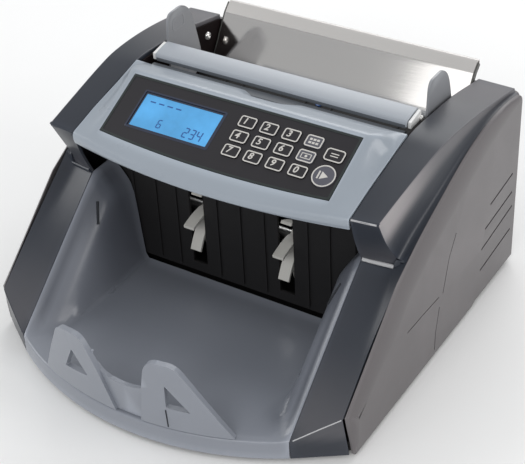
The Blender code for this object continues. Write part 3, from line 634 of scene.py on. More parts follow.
def side_frame(word):
    piece = sided(word, "shoulder", "slate", "side_frame")
    wing = wing_rows()
    columns = [rounded([row[j] for row in wing], (0.9, 12), 5, 5) for j in range(4)]
    rows = [rounded([c[i] for c in columns], (4, 4), 4, 3) for i in range(len(columns[0]))]
    # A painted sheen lightens the lower part of the wing, just above its bend.
    piece.add(sheet(rows, FRAME_T, (-0.3, -1, 1),
                    tone_and_painted_light=lambda i, j, p: 0.16 * ease(62, 24, p[2]) * ease(14, 22, p[2])))

    sections = shoulder_sections()
    lines = [through([s[j] for s in sections], 5) for j in range(6)]
    rows = [rounded([line[i] for line in lines], (1, 0.8, 14, 6), 5, 3) for i in range(len(lines[0]))]
    # grid columns of the flank's outer edge and of its valley
    first, last = 2 * 8 - 2, 4 * 8 - 4

    # Painted light: a painted sheen lightens the shoulder's top toward the rear, and the flank's light grey
    # fades into the slate of the valley, with painted shade darkening it toward the rear.
    def tone_and_painted_light(i, j, p):
        rear = 0.36 * ease(48, 124, p[1])
        if j <= first - 3:
            return rear
        across = (j - first) / (last - first)
        narrow = 0.12 * ease(20, 120, p[1])
        flank = 1 - ease(0.34 + narrow, 0.62 + narrow, across)
        return max(flank * (1 - 0.74 * ease(-24, 40, p[1])), 0.24 * rear)

    piece.add(sheet(rows, FRAME_T, (0.3, -0.1, 1), tone_and_painted_light=tone_and_painted_light))

    s0, w3 = sections[0], wing[3]
    right = rounded([s0[2], s0[3], s0[4], w3[2]], (12, 3), 4, 3)
    face = []
    for i, r in enumerate(right):
        t = i / (len(right) - 1)
        left = Vector(s0[1]).lerp(Vector(w3[0]), t) - Vector((0, 1.6 * sin(pi * t), 0))
        face.append([left.lerp(r, k / 8) - Vector((0, 0.4 * sin(pi * k / 8), 0)) for k in range(9)])
    # A painted highlight lightens the front facet toward its foot.
    piece.add(sheet(face, FRAME_T - 0.2, (0, -1, 0.1), tone_and_painted_light=lambda i, j, p: 0.12 * ease(118, 92, p[2])))
    end = [[Vector(w3[2]).lerp(Vector(w3[3]), k / 4) for k in range(5)],
           [Vector(s0[4]).lerp(Vector(s0[5]), k / 4) for k in range(5)]]
    piece.add(sheet(end, FRAME_T - 0.2, (-0.6, -0.4, 1)))
    # Beads along the shoulder's front edge, the step below it and the wing's bend are painted highlight
    # lines: light grey on the right, dark slate on the left, which lies in shade.
    brow = [Vector(s0[1]) + Vector((0.5, 0.2, -0.4)), Vector(s0[2]) + Vector((-1.4, 0.2, -0.4))]
    bead_lit_or_shaded = "slate" if word == "left" else "highlight_bead"
    piece.add(bead(brow, 0.62), bead_lit_or_shaded)
    highlight_bead = rounded([(101.2, -23.8, 93.4), (109, -21.8, 92.2), (119.4, -18.9, 90.9)], (6,), 4, 4)
    piece.add(bead(highlight_bead, 1.3, 10), bead_lit_or_shaded)
    bend = [Vector(p) + Vector((0, 0.25, -0.25)) for p in wing[1]]
    piece.add(bead([bend[0].lerp(bend[1], 0.1), *bend[1:3], bend[2].lerp(bend[3], 0.8)], 0.36), bead_lit_or_shaded)
    piece.done(30)


LOUVRES = (((91.3, 72.4), (125.6, 76.7)), ((84.9, 57.1), (126.5, 61.6)),
           ((80.6, 43.3), (128.3, 49.4)), ((80.2, 26.7), (127.2, 31.1)))
GROOVES = (((39.9, 82.4), (30.8, 68.5), (23.9, 46.3)), ((19.6, 38.5), (15.2, 20.7), (14.6, 7.2)),
           ((18.5, 47.1), (-3.6, 48.6), (-24.1, 49.3)))


def cover_loop():
    """The cover's outline as (y, z, lean, reach): how far its edge leans in, and how wide that slope is."""
    out = [(-88, SKIRT_Z, 0, 2), (-89.1, 10.5, 0.12, 6), (-90.3, 18, 0.4, 7), (-91.5, 25.8, 0.8, 8)]
    curve = through([Vector((y, z, 0)) for y, z in COVER_EDGE[1:]], 3)
    first = Vector((*COVER_EDGE[0], 0))
    for p in [first, *[first.lerp(curve[0], t) for t in (0.04, 0.3, 0.6, 0.9)], *curve]:
        reach = lerp(((-92, 8), (-60, 18), (60, 18), (100, 12), (124, 6), (131, 3)), p.x)
        out.append((p.x, p.y, lean(p.x), reach))
    out += [(133, 131.4, 0.15, 2.4), (133.9, 130, 0.1, 2), (134.2, 128, 0.05, 1.6), (134.2, 70, 0, 1.4),
            (134.2, 4.8, 0, 1.2), (74, 4.8, 0, 1.2), (70, SKIRT_Z, 0, 1.2), (0, SKIRT_Z, 0, 1.2)]
    return out


def inset(loop, i, share):
    """The i-th outline point moved inward by a share of its reach, along the mitre of its corner."""
    def normal(a, b):
        d = Vector((b[1] - a[1], a[0] - b[0]))
        return d.normalized()

    n0 = normal(loop[i - 1], loop[i])
    n1 = normal(loop[i], loop[(i + 1) % len(loop)])
    m = (n0 + n1) / (1 + n0.dot(n1))
    y, z, _, reach = loop[i]
    return (y + m.x * reach * share, z + m.y * reach * share)


def side_cover(word):
    """Flat panel whose top edge leans inward, with recessed lines and slotted vents."""
    piece = sided(word, "cover", "warm_grey", "side_cover")
    loop = cover_loop()
    n = len(loop)
    flat_x = HALF_W - COVER_T
    bm = bmesh.new()
    rings = []
    for share in (0, 0.04, 0.12, 0.25, 0.45, 0.7, 1):
        ring = []
        for i in range(n):
            y, z = inset(loop, i, share)
            drop = COVER_LEAN * loop[i][2] * (1 - share) ** 2
            edge = max(0, 1 - share * loop[i][3] / 0.8)
            ring.append(bm.verts.new((HALF_W - drop - 0.7 * edge * edge, y, z)))
        rings.append(ring)
    inner = []
    for share, back in ((0, 1.6), (0.45, 0)):
        ring = [(flat_x - back * loop[i][2], *inset(loop, i, share)) for i in range(n)]
        inner.append([bm.verts.new(p) for p in ring])
    stack = [*reversed(rings), *inner]
    for a, b in zip(stack, stack[1:]):
        for i in range(n):
            j = (i + 1) % n
            bm.faces.new((a[i], a[j], b[j], b[i]))

    def fill_face(ring, x, holes):
        flat, tris = fill([[(v.co.y, v.co.z) for v in ring], *holes])
        verts = [bm.verts.new((x, y, z)) for y, z in flat]
        faces = [bm.faces.new([verts[i] for i in t]) for t in tris]
        used = {v for f in faces for v in f.verts}
        bmesh.ops.delete(bm, geom=[v for v in verts if v not in used], context="VERTS")

    louvres = [ribbon(pair, 0.8, -0.8) for pair in LOUVRES]
    grooves = [ribbon(path, 0.42, -0.42) for path in GROOVES]
    fill_face(rings[-1], HALF_W, [*louvres, *grooves])
    fill_face(inner[-1], flat_x, louvres)
    bmesh.ops.remove_doubles(bm, verts=bm.verts, dist=1e-4)

    def lies_on(edge, loops, x):
        return all(abs(v.co.x - x) < 1e-3 and any(abs(v.co.y - y) < 1e-3 and abs(v.co.z - z) < 1e-3
                                                  for line in loops for y, z in line) for v in edge.verts)

    rim = [e for e in bm.edges if e.is_boundary]
    for loops, depth in ((grooves, 0.7), (louvres, COVER_T)):
        edges = [e for e in rim if lies_on(e, loops, HALF_W)]
        out = bmesh.ops.extrude_edge_only(bm, edges=edges)
        for item in out["geom"]:
            if isinstance(item, bmesh.types.BMVert):
                item.co.x -= depth
        if depth < COVER_T:
            floor = [g for g in out["geom"] if isinstance(g, bmesh.types.BMEdge) and g.is_boundary]
            bmesh.ops.holes_fill(bm, edges=floor, sides=0)
    bmesh.ops.remove_doubles(bm, verts=bm.verts, dist=1e-4)
    piece.add(bm)
    # slats of the vents, standing back behind each slot
    for a, b in LOUVRES:
        slat = ribbon([(a[0] - 1, a[1] - 2.4), (b[0] + 1, b[1] - 2.4)], 1.6, -1.6)
        piece.plate([slat], along_x, flat_x - 1.6, flat_x - 0.2, 0.2)
    piece.done(28)


def mirrored(half):
    return sorted({-x for x in half} | set(half))


def tray_height(x, y):
    """Top of the note tray: flat floor, with the sides swept up to the wings."""
    ax = abs(x)
    floor = 17
    if ax <= 78:
        return floor
    side = max(floor, lerp(WING, y) - lerp(((83.5, 19.5), (87, 12.5), (91, 7.6), (97.4, 0.4), (99.8, 0)), ax))
    return floor + (side - floor) * ease(78, 84.5, ax)


def front_tray():
    piece = Piece("note_tray", "tray_grey", "front_tray")
    half = [8 * i for i in range(10)] + [74.5, 77, 79, 80.5, 82, 83.5, 85.5, 88, 91, 94.5, 97.4, 99.8]
    xs = mirrored(half)
    front = []
    for x in xs:
        foot, top = (x, arc_y(x), SKIRT_Z + 0.2), (x, arc_y(x), BAND_TOP)
        back_y = arc_y(x, FRONT_R - 5)
        back = (x, back_y, max(BAND_TOP + 0.8, tray_height(x, back_y)))
        front.append(rounded([foot, top, back], (1.5,), 5, 2))
    rows = [[front[k][i] for k in range(len(xs))] for i in range(len(front[0]))]
    crest = rows[8]      # halfway over the top of the band
    back_rows = 16
    for k in range(1, back_rows + 1):
        t = k / back_rows
        path = [(x, y + (-3 - y) * t) for x, y, _ in crest]
        rows.append([(x, y, tray_height(x, y)) for x, y in path])

    # Painted shade: the floor darkens toward the rear, and the swept side walls and their top edge are
    # darkened.
    def tone_and_painted_light(i, j, p):
        side = (0.48 + 0.47 * ease(-60, -30, p[1])) * ease(66, 86, abs(p[0])) * ease(-116, -84, p[1])
        lip = 0.95 * ease(88, 96, abs(p[0])) * ease(-112, -90, p[1])
        rear = 0.3 * ease(-104, -62, p[1]) + 0.25 * ease(-40, -4, p[1])
        return max(side, lip, rear)

    piece.add(sheet(rows, 2, (0, 0, 1), tone_and_painted_light=tone_and_painted_light))
    # slit in each side wall of the tray
    slit = [(91.2, -32, 76.9), (89, -35.6, 70.6), (86.6, -39.4, 64)]
    for sx in (-1, 1):
        path = [(sx * x, y, tray_height(x, y) - 0.1) for x, y, z in slit]
        piece.add(bead(path, 0.95, 6), "seam")
    piece.done(40)


STOP_HOLES = (((-43, 34), (-32.6, 53), (-22.5, 36.5)), ((33, 34.5), (34, 53), (48.5, 34)))
STOP_T = 3.8


def on_front(x, z, d):
    """A point on the curved front, leaning outward with height; d is depth behind it."""
    r = FRONT_R - 0.2 + 4.3 * (z - 16) / 54 - d
    angle = x / FRONT_R
    return (r * sin(angle), FRONT_CY - r * cos(angle), z)


def bent_plate(loops, near, far, round_off):
    """A plate that follows the curved front between two depths."""
    bm = flat_face(loops, along_y, near)
    for x in range(-66, 74, 6):
        bmesh.ops.bisect_plane(bm, geom=[*bm.verts, *bm.edges, *bm.faces], plane_co=(x, 0, 0),
                               plane_no=(1, 0, 0))
    thicken(bm, Vector((0, far - near, 0)))
    soften(bm, round_off, 3, 50)
    for v in bm.verts:
        v.co = on_front(v.co.x, v.co.z, v.co.y)
    return bm


def note_stop():
    """Two stout fingers with a scooped web set back between them."""
    piece = Piece("note_fingers", "tray_grey", "note_stop")
    left = [(-68.5, 17.2), (-46.5, 59), (-44, 64), (-40, 66.8), (-27.5, 68.4), (-23, 66.6), (-20, 62),
            (-12.5, 44), (-4.5, 17.2)]
    right = [(14, 17.2), (18, 44), (21.5, 62), (24, 67), (28.5, 69.6), (38.5, 69.6), (43, 67.4), (46.5, 62.5),
             (73.5, 17.2)]
    for loop, hole in zip((left, right), STOP_HOLES):
        outline = flat_loop(loop, [0, 4, 3, 3, 4, 3, 3, 6, 0])
        piece.add(bent_plate([outline, flat_loop(hole, [1.4] * 3)], 0, STOP_T, 0.7))
    web = [(-14, 17.2), (-16, 49), (-12.5, 44.4), (-7, 41.8), (4, 40.6), (13.5, 41.6), (18, 44.2), (20, 50),
           (20, 17.2)]
    piece.add(bent_plate([flat_loop(web, [0, 0, 3, 3, 4, 4, 3, 0, 0])], 2.2, STOP_T + 1.2, 0.8))
    # parting line below the right finger's opening
    piece.add(bead([on_front(32.6, 32.6, -0.25), on_front(32.6, 18.6, -0.25)], 0.35, 6), "seam")
    # stiffening ribs down the back of each finger
    for x0, x1 in ((-57, -44.5), (-30.5, -17.5), (24.5, 25.5), (59, 46)):
        path = [on_front(x0, 20, STOP_T), on_front(x1, 58, STOP_T)]
        piece.add(bead(path, 0.8, 8))
    piece.done()


def rear_cover():
    piece = Piece("rear_panel", "warm_grey", "rear_cover")
    loops = [rounded_rect(-128.4, SKIRT_Z + 0.2, 128.4, 131.5, 4, 4),
             rounded_rect(-98.3, 16.7, -69.7, 39.3, 2, 3),
             rounded_rect(-60.3, 17.7, -45.7, 38.3, 1, 3),
             circle(-30, 28, 6.3, 28)]
    for x in (14, 58):
        for k in range(9):
            loops.append(rounded_rect(x, 54 + 6 * k, x + 36, 56.2 + 6 * k, 1, 3))
    piece.plate(loops, along_y, REAR_Y - 3, REAR_Y, 0.45)
    # a raised border round the vents
    border = [rounded_rect(8, 48, 100, 110, 4), rounded_rect(9.8, 49.8, 98.2, 108.2, 2.8)]
    piece.plate(border, along_y, REAR_Y - 0.1, REAR_Y + 0.9, 0.3)
    for x, z in ((-120, 12), (120, 12), (-120, 122), (120, 122), (0, 122), (0, 12)):
        piece.add(screw(x, REAR_Y, z, 1, 1, 3.2), "zinc")
    # a blank label plate
    piece.plate([rounded_rect(-98, 62, -42, 96, 2)], along_y, REAR_Y - 0.1, REAR_Y + 0.25, 0.1, "nylon")
    piece.done()


# ---- control panel

def panel_z(y):
    return PANEL_Z + (y - PANEL_Y) * tan(PANEL_TILT)


def overlay_front_v(x):
    return -OVERLAY_BOW * (1 - (x / OVERLAY_HALF) ** 2)


def bezel_z(x, y):
    top = panel_z(min(y, 13.6))
    if y > 13.6:
        s = (y - 13.6) / 20.8
        top += (146.8 - top) * (0.35 * s + 0.65 * s * s)
    edge = lerp(SHOULDER_IN, y) + 0.4
    side, rear = abs(x), ease(11, 19, y)
    # a long hollow beside the overlay, ending at the level shelf behind it
    hollow = 1.5 * ease(-34, 8, y) * (1 - rear) * ease(85.4, 94.5, side) * (1 - ease(94.5, 99.3, side))
    return top + (edge - top) * ease(85.4 + 3 * rear, BEZEL_HALF, side) - hollow


def notched(x, y, z):
    """Press the finger notch into the rear edge of the bezel."""
    depth = ease(-17, 0, x) * (1 - ease(10, 27, x))
    near = min(max((y - 21) / 13.4, 0), 1)
    return (x, y - 5.5 * depth * near * near, z - 3.2 * depth * near ** 1.3)


def control_bezel():
    piece = Piece("panel_bezel", "silver_blue", "control_bezel")
    hole = OVERLAY_HALF + GAP
    ends = [84.4, 85.6, 86.8, 88.2, 89.8, 91.4, 93, 94.5, 95.8, 97, 98.1, 99, BEZEL_HALF]
    xs = mirrored([hole * i / 22 for i in range(23)] + ends)
    cos_t = cos(PANEL_TILT)
    panel_rows, shelf_rows, edge_rows = 16, 14, 3

    def bend(x, end, centre):
        return end + (centre - end) * (1 - (x / BEZEL_HALF) ** 2)

    columns = []
    for x in xs:
        round_x = 1 - 0.012 * ease(96, BEZEL_HALF, abs(x))
        lip = (x, bend(x, -36, -47), 121.5)
        face = (x, bend(x, -37, -47.6), bend(x, 124.4, 122.2))
        top_y = bend(x, -37, -45.6)
        crest = (x, top_y, panel_z(top_y) + 0.1 * round_x)
        near = PANEL_Y + (overlay_front_v(min(abs(x), OVERLAY_HALF)) - GAP) * cos_t
        points = rounded([lip, face, crest, (x, near, bezel_z(x, near))], (1, 2.6), 4, 2)
        top_y = PANEL_Y + (OVERLAY_TOP + GAP) * cos_t
        for i in range(1, panel_rows + 1):
            y = near + (top_y - near) * i / panel_rows
            points.append(Vector((x, y, bezel_z(x, y))))
        for i in range(1, shelf_rows + 1):
            y = top_y + (34.6 - top_y) * i / shelf_rows
            points.append(Vector(notched(x, y, bezel_z(x, y))))
        last = points[-1]
        points += [last + Vector((0, y, z)) for y, z in ((0.55, -0.35), (0.75, -1.2), (0.8, -6))]
        columns.append(points)
    rows = [[c[i] for c in columns] for i in range(len(columns[0]))]
    start = len(rows) - edge_rows - shelf_rows - panel_rows - 1

    def skip(i, j):
        return start <= i < start + panel_rows and max(abs(xs[j]), abs(xs[j + 1])) <= hole + 1e-6

    piece.add(sheet(rows, 2, (0, -0.4, 1), skip=skip))
    # step between the panel and the hopper bar, in the dark grey that paints the shade under the bar
    step = [(35.9, 137.6), (35.9, 141.2), (37.2, 142.2), (44.6, 142), (45.8, 141), (45.8, 137.6)]
    piece.plate([step], along_x, -93.4, 93.8, 0.4, "bar_painted_shade")
    piece.done(42)


def panel_outline(inset):
    xs = [(OVERLAY_HALF - inset) * (1 - i / 12) for i in range(25)]
    front = [(x, overlay_front_v(x) + inset) for x in xs]
    corners = [(-OVERLAY_HALF + inset, OVERLAY_TOP - inset), (OVERLAY_HALF - inset, OVERLAY_TOP - inset)]
    radii = [1.2, 1.2, 1.2] + [0] * (len(front) - 2) + [1.2]
    return flat_loop([*corners, *front], radii, 3)


KEY_COLS = (9, 24.5, 40.1, 55.8)
KEY_ROWS = (34, 23.1, 12.2)
KEY_NAMES = (("key_1", "key_2", "key_3", "key_clear"), ("key_4", "key_5", "key_6", "key_detect"),
             ("key_7", "key_8", "key_9", "key_0"))


def key_table():
    """Name, centre, half width, half height and corner radius of every key."""
    keys = [(name, x, v, 5.8, 4.2, 1.8)
            for v, names in zip(KEY_ROWS, KEY_NAMES) for x, name in zip(KEY_COLS, names)]
    return [*keys, ("key_mode", 72.4, 28.8, 6.5, 4.5, 2.4), ("key_start", 72.5, 13.9, 7.6, 7.6, 7.6)]


def key_loop(x, v, w, h, r, by=0):
    if r == w:
        return circle(x, v, r + by, 40)
    return rounded_rect(x - w - by, v - h - by, x + w + by, v + h + by, max(r + by, 0.3), 5)


def overlay():
    piece = Piece("panel_overlay", "overlay", "keypad_overlay")
    x0, v0, x1, v1 = LCD
    window = rounded_rect(x0 - GAP, v0 - GAP, x1 + GAP, v1 + GAP, 0.5, 2)
    holes = [window] + [key_loop(*k[1:], by=GAP) for k in key_table()]
    piece.plate([panel_outline(0), *holes], on_panel, -2.4, 0)
    piece.plate([panel_outline(0.05), panel_outline(1.5)], on_panel, -0.1, 0.22, 0.08, "rim")
    border = rounded_rect(x0 - 1.5, v0 - 1.5, x1 + 1.5, v1 + 1.5, 1.2, 3)
    piece.plate([border, window], on_panel, -0.1, 0.14, 0.05, "lcd_frame")
    piece.done()


def key_symbol(name, x, v):
    """Print on a key: its numeral, or a plain symbol on the function keys."""
    low, high = KEY_PROUD - 0.1, KEY_PROUD + 0.12
    if name[4:].isdigit():
        return [glyph(name[4:], 6.3, (x - 1.7, v + 0.35), on_panel, low, high)]
    if name == "key_clear":
        marks = [[rect(x + a - 0.9, v + b - 0.7, x + a + 0.9, v + b + 0.7)]
                 for a in (-2.4, 0, 2.4) for b in (-1.2, 1.2)]
    elif name == "key_detect":
        note = [rounded_rect(x - w, v - h, x + w, v + h, r) for w, h, r in ((3.4, 1.9, 0.4), (2.9, 1.4, 0.3))]
        marks = [note, [circle(x, v, 0.9, 16)]]
    elif name == "key_mode":
        marks = [[rect(x - 2.6, v + b - 0.32, x + 2.6, v + b + 0.32)] for b in (0.9, -0.9)]
    else:
        arrow = [(x - 1.9, v - 2.7), (x + 2.9, v), (x - 1.9, v + 2.7)]
        marks = [[arrow], [rect(x - 3.9, v - 2.7, x - 2.9, v + 2.7)]]
    return [plate(loops, on_panel, low, high) for loops in marks]


def keys():
    for name, x, v, w, h, r in key_table():
        piece = Piece(f"{name}_button", "key", name, body=f"{name}_cap")
        tint = "key_grey" if name in ("key_clear", "key_detect", "key_start") else "key"
        piece.plate([key_loop(x, v, w, h, r)], on_panel, KEY_PROUD - KEY_DEPTH, KEY_PROUD, 0.25, tint)
        ring = [key_loop(x, v, w, h, r, -0.12), key_loop(x, v, w, h, r, -0.92)]
        piece.plate(ring, on_panel, KEY_PROUD - 0.1, KEY_PROUD + 0.12, 0, "ink")
        for mark in key_symbol(name, x, v):
            piece.add(mark, "ink")
        piece.done()


SEGMENTS = {"2": "abged", "3": "abgcd", "4": "fgbc", "6": "afgedc"}


def lcd_digit(piece, value, x, v, height):
    """One seven-segment figure on the display."""
    w, h, t = 0.52 * height, height, 0.11 * height
    bars = {
        "a": (t, h - t, w - t, h), "g": (t, 0.5 * (h - t), w - t, 0.5 * (h + t)), "d": (t, 0, w - t, t),
        "f": (0, 0.5 * h + 0.2, t, h - 0.4), "b": (w - t, 0.5 * h + 0.2, w, h - 0.4),
        "e": (0, 0.4, t, 0.5 * h - 0.2), "c": (w - t, 0.4, w, 0.5 * h - 0.2),
    }
    for key in SEGMENTS[value]:
        a, b, c, d = bars[key]
        piece.plate([rect(x + a, v + b, x + c, v + d)], on_panel, -0.55, -0.42, 0, "segment")


def display():
    piece = Piece("lcd_display", "lcd", "lcd_module")
    x0, v0, x1, v1 = LCD
    piece.plate([rect(x0, v0, x1, v1)], on_panel, -5.2, -0.5)
    edge = [rect(x0, v0, x1, v1), rounded_rect(x0 + 0.9, v0 + 0.7, x1 - 0.9, v1 - 1.1, 0.4, 2)]
    piece.plate(edge, on_panel, -0.6, -0.35, 0, "lcd_frame")
    lcd_digit(piece, "6", x0 + 19, v0 + 3.6, 6.4)
    for k, value in enumerate("234"):
        lcd_digit(piece, value, x0 + 39 + 4.9 * k, v0 + 2.6, 7.4)
    for k in range(4):
        a = x0 + 6 + 6.5 * k
        piece.plate([rect(a, v1 - 6.2, a + 4, v1 - 5.3)], on_panel, -0.55, -0.42, 0, "segment")
    piece.done()


# ---- hopper

def hopper_bar():
    piece = Piece("flap_bar", "silver_blue", "hopper_bar", body="hopper_flap")
    top = [(46.2, 143.4), (46.25, 146.2), (47.2, 147.6), (50, 148.5), (55, 149.3), (60.4, 149.8),
           (61.7, 149.4), (62, 148.4), (62, 142.8), (61, 142.8), (60.6, 148), (55, 147.8), (50, 147),
           (47.8, 146.2), (47.6, 143.4)]
    piece.plate([top], along_x, -93, 93.4, 0.3, "bar")
    # The bar's front strip is a darker copy of its grey: painted shade on the face turned from the light
    piece.plate([rect(46.1, 142.6, 47.7, 145.2)], along_x, -92.2, 92.6, 0.35, "bar_painted_shade")
    # hinge barrel with polished end fittings
    y, z = BAR_AXIS
    barrel = [(-94, 0), (-94, 2.4), (-93.4, 2.9), (93.4, 2.9), (94, 2.4), (94, 0)]
    piece.add(turned(barrel, (y, z), 24), "bar")
    for side in (-1, 1):
        cap = [(93.6, 0), (93.6, 1.6), (97.6, 1.6), (97.8, 1.3), (97.8, 0)]
        piece.add(turned(cap, (y, z), 20), "bright", side < 0)
        clip = [(47.4, 146.9), (60.6, 149.2), (61.2, 148.6), (61.2, 142.4), (47.4, 142.4)]
        piece.plate([clip], along_x, 93.7, 95.9, 0.3, "clip", side < 0)
    # ribs under the bar
    for k in range(9):
        x = -80 + 20 * k
        rib = [(48, 146), (55, 147.6), (60.4, 147.9), (60.6, 143.4), (56, 144.6), (48, 143.6)]
        piece.plate([rib], along_x, x - 0.6, x + 0.6, 0, "bar")
    piece.done()


def hopper_plate():
    piece = Piece("back_plate", "steel", "hopper_plate")
    line = [(114.1, 105.4), (118.9, 112.8), (124.9, 122), (132.6, 134), (134.4, 136.8), (135, 137.6),
            (135.8, 138.5), (140.2, 142.5), (141, 143.1), (141.9, 143.6), (143, 143.8), (144, 143.5),
            (144.6, 142.8), (144.8, 141.9), (144.7, 140.9)]
    half = PLATE_HALF - 1.2
    piece.plate([ribbon(line[:6], 0, -1)], along_x, -half, half)
    # satin band turned back along the top
    piece.plate([ribbon(line[5:], 0, -1)], along_x, -half, half, 0.15, "satin")
    # folded side edges, in a dark steel that paints the shade they stand in
    for x in (-PLATE_HALF, PLATE_HALF - 1):
        shaded_hem = ribbon(line[:9], 0, -3.6)
        piece.plate([shaded_hem], along_x, x, x + 1, 0.2, "shaded_hem")
    for x in (-78, 78):
        stay = [(116.4, 107.6), (134, 135.4), (133.6, 133.6), (133.6, 126), (121, 108)]
        piece.plate([stay], along_x, x - 0.8, x + 0.8, 0.2, "zinc")
    piece.done(40)


GUIDE = ((66.6, 104), (66.2, 148), (67.6, 161.5), (70.2, 165), (83, 165.4), (88, 163.6),
         (93, 158.6), (96.4, 151), (102.6, 124), (102.8, 109.6))


def guide(word):
    piece = sided(word, "guide_blade", "guide", "note_guide", f"{word}_guide")
    loop = flat_loop(GUIDE, [1, 6, 3, 3, 5, 4, 4, 8, 3, 2])
    piece.add(plate([loop], along_x, GUIDE_IN, GUIDE_IN + 1.5, 0.5, 3))
    grip = rounded_rect(72, 150, 86, 160, 3)
    inner = rounded_rect(73.2, 151.2, 84.8, 158.8, 2)
    piece.plate([grip, inner], along_x, GUIDE_IN - 0.2, GUIDE_IN + 0.2, 0.1)
    piece.done()


def hopper_floor():
    piece = Piece("hopper_base", "black", "hopper_floor")
    y0, y1 = 65, 113.4

    def place_at(x, y, w):
        return (x, y, 100.4 + (y - 66) * 0.16 + w)

    loops = [rect(-97.4, y0, 97.4, y1)]
    loops += [rounded_rect(a - 1.2, 67, b + 1.2, 95.6, 1.5) for a, b in TYRES.values()]
    piece.plate(loops, place_at, -2, 0, 0.4)
    # low runners that keep the notes off the floor, and a sensor window
    for x in (-88, -74, -60, -10, 0, 10, 60, 74, 88):
        piece.plate([rounded_rect(x - 0.9, 68, x + 0.9, 103, 0.8)], place_at, -0.1, 0.7, 0.3)
    piece.plate([circle(0, 100, 2.2, 20)], place_at, -0.1, 0.9, 0.2, "segment")
    piece.done()


def mech_plate(word):
    piece = sided(word, "mech_plate_skin", "dark_steel", "mech_plate")
    top = [(y, lerp(SHOULDER_IN, y) - 2.4) for y in (38, 52, 75, 97, 120, 131)]
    outline = [(3, 22), (3, 112), (37, 112), *top, (131, 22)]
    holes = [circle(y, z, 4.4, 20) for y, z in AXIS.values()]
    piece.plate([outline, *holes], along_x, 98.2, 99.7, 0.25)
    ring = [(98.1, 4.45), (98.1, 7.6), (97.4, 7), (97.4, 4.45)]
    for name in ("pickup", "feed", "stacker"):
        piece.add(revolve(ring, AXIS[name], 28), "bright")
    for y, z in ((114, 128), (62, 118), (112, 108), (48, 62), (70, 40)):
        piece.add(screw(98.2, y, z, 0, -1, 3), "bright")
    piece.done()


def pocket_wall():
    piece = Piece("pocket_back", "black", "pocket_wall")
    loops = [rect(-97.6, 19.6, 97.6, 134)]
    loops += [rounded_rect(a - 1.5, 27, b + 1.5, 89, 1) for a, b in FANS.values()]
    piece.plate(loops, along_y, -1.6, 0.4, 0.35)
    for x in (-84, -66, -50, -18, 0, 18, 50, 66, 84):
        piece.plate([rounded_rect(x - 1, 22, x + 1, 104, 0.9)], along_y, -2.6, -1.5, 0.3)
    piece.done()


# ---- drive and fittings

def drive_body(name):
    return "motor_rotor" if name == "motor" else f"{name}_unit"


def roller(name, word, radius):
    """A rubber roller on a nylon hub, grooved round its face."""
    piece = Piece(f"{name}_tyre_{word}", "rubber", f"{name}_roller_{word}", body=drive_body(name))
    axis, (x0, x1) = AXIS[name], TYRES[word]
    face = [(x0, radius - 2.6), (x0, radius - 0.8), (x0 + 0.8, radius)]
    pitch = (x1 - x0 - 1.6) / 8
    for k in range(1, 8):
        x = x0 + 0.8 + pitch * k
        face += [(x - 0.45, radius), (x - 0.25, radius - 0.5), (x + 0.25, radius - 0.5), (x + 0.45, radius)]
    face += [(x1 - 0.8, radius), (x1, radius - 0.8), (x1, radius - 2.6)]
    piece.add(revolve(face, axis, 48))
    hub = [(x0 + 0.4, 4.1), (x0 + 0.4, radius - 2.6), (x1 - 0.4, radius - 2.6), (x1 - 0.4, 4.1)]
    piece.add(revolve(hub, axis, 32), "nylon")
    piece.done(40)


def stacker_wheel(word):
    """A hub with eight swept flexible blades."""
    piece = Piece(f"stacker_fan_{word}", "nylon", f"stacker_wheel_{word}", body="stacker_unit")
    axis, (x0, x1) = AXIS["stacker"], FANS[word]
    lead = [(11, 0), (14, 0.11), (18, 0.3), (23, 0.46), (27, 0.56), (30, 0.62)]
    trail = [(29.6, 0.69), (26.6, 0.635), (22.6, 0.545), (18, 0.44), (14.4, 0.3), (11, 0.24)]
    piece.plate([repeated(axis, 8, [*lead, *trail]), circle(*axis, 4.1)], along_x, x0, x1, 0.25)
    ring = [(x0 - 0.6, 5), (x0 - 0.6, 8.6), (x1 + 0.6, 8.6), (x1 + 0.6, 5)]
    piece.add(revolve(ring, axis, 36))
    piece.done()


def shaft(name):
    axis, (x0, x1), radius, _ = DRIVE[name]
    piece = Piece(f"{name}_spindle", "zinc", f"{name}_shaft", body=drive_body(name))
    ends = [(x0, 0), (x0, radius - 0.6), (x0 + 0.6, radius), (x0 + 3, radius), (x0 + 3.2, radius - 0.5),
            (x0 + 4.2, radius - 0.5), (x0 + 4.4, radius), (x1 - 0.6, radius), (x1, radius - 0.6), (x1, 0)]
    piece.add(turned(ends, axis, 32))
    piece.done(40)


def pulley(name):
    """A toothed wheel between two flanges."""
    axis, _, bore, radius = DRIVE[name]
    piece = Piece(f"{name}_toothed_wheel", "nylon", f"{name}_pulley", body=drive_body(name))
    x0, x1 = 111, 119
    bore += 0.1
    for a, b in ((x0, x0 + 1), (x1 - 1, x1)):
        flange = [(a, bore), (a, radius + 1.3), (a + 0.3, radius + 1.6), (b - 0.3, radius + 1.6),
                  (b, radius + 1.3), (b, bore)]
        piece.add(revolve(flange, axis, 36))
    teeth = round(radius * 2.2)
    root, step = radius - 0.5, 2 * pi / teeth
    tooth = [(root, 0.05 * step), (radius, 0.25 * step), (radius, 0.65 * step), (root, 0.85 * step)]
    piece.plate([repeated(axis, teeth, tooth), circle(*axis, bore, 24)], along_x, x0 + 1, x1 - 1)
    piece.done()


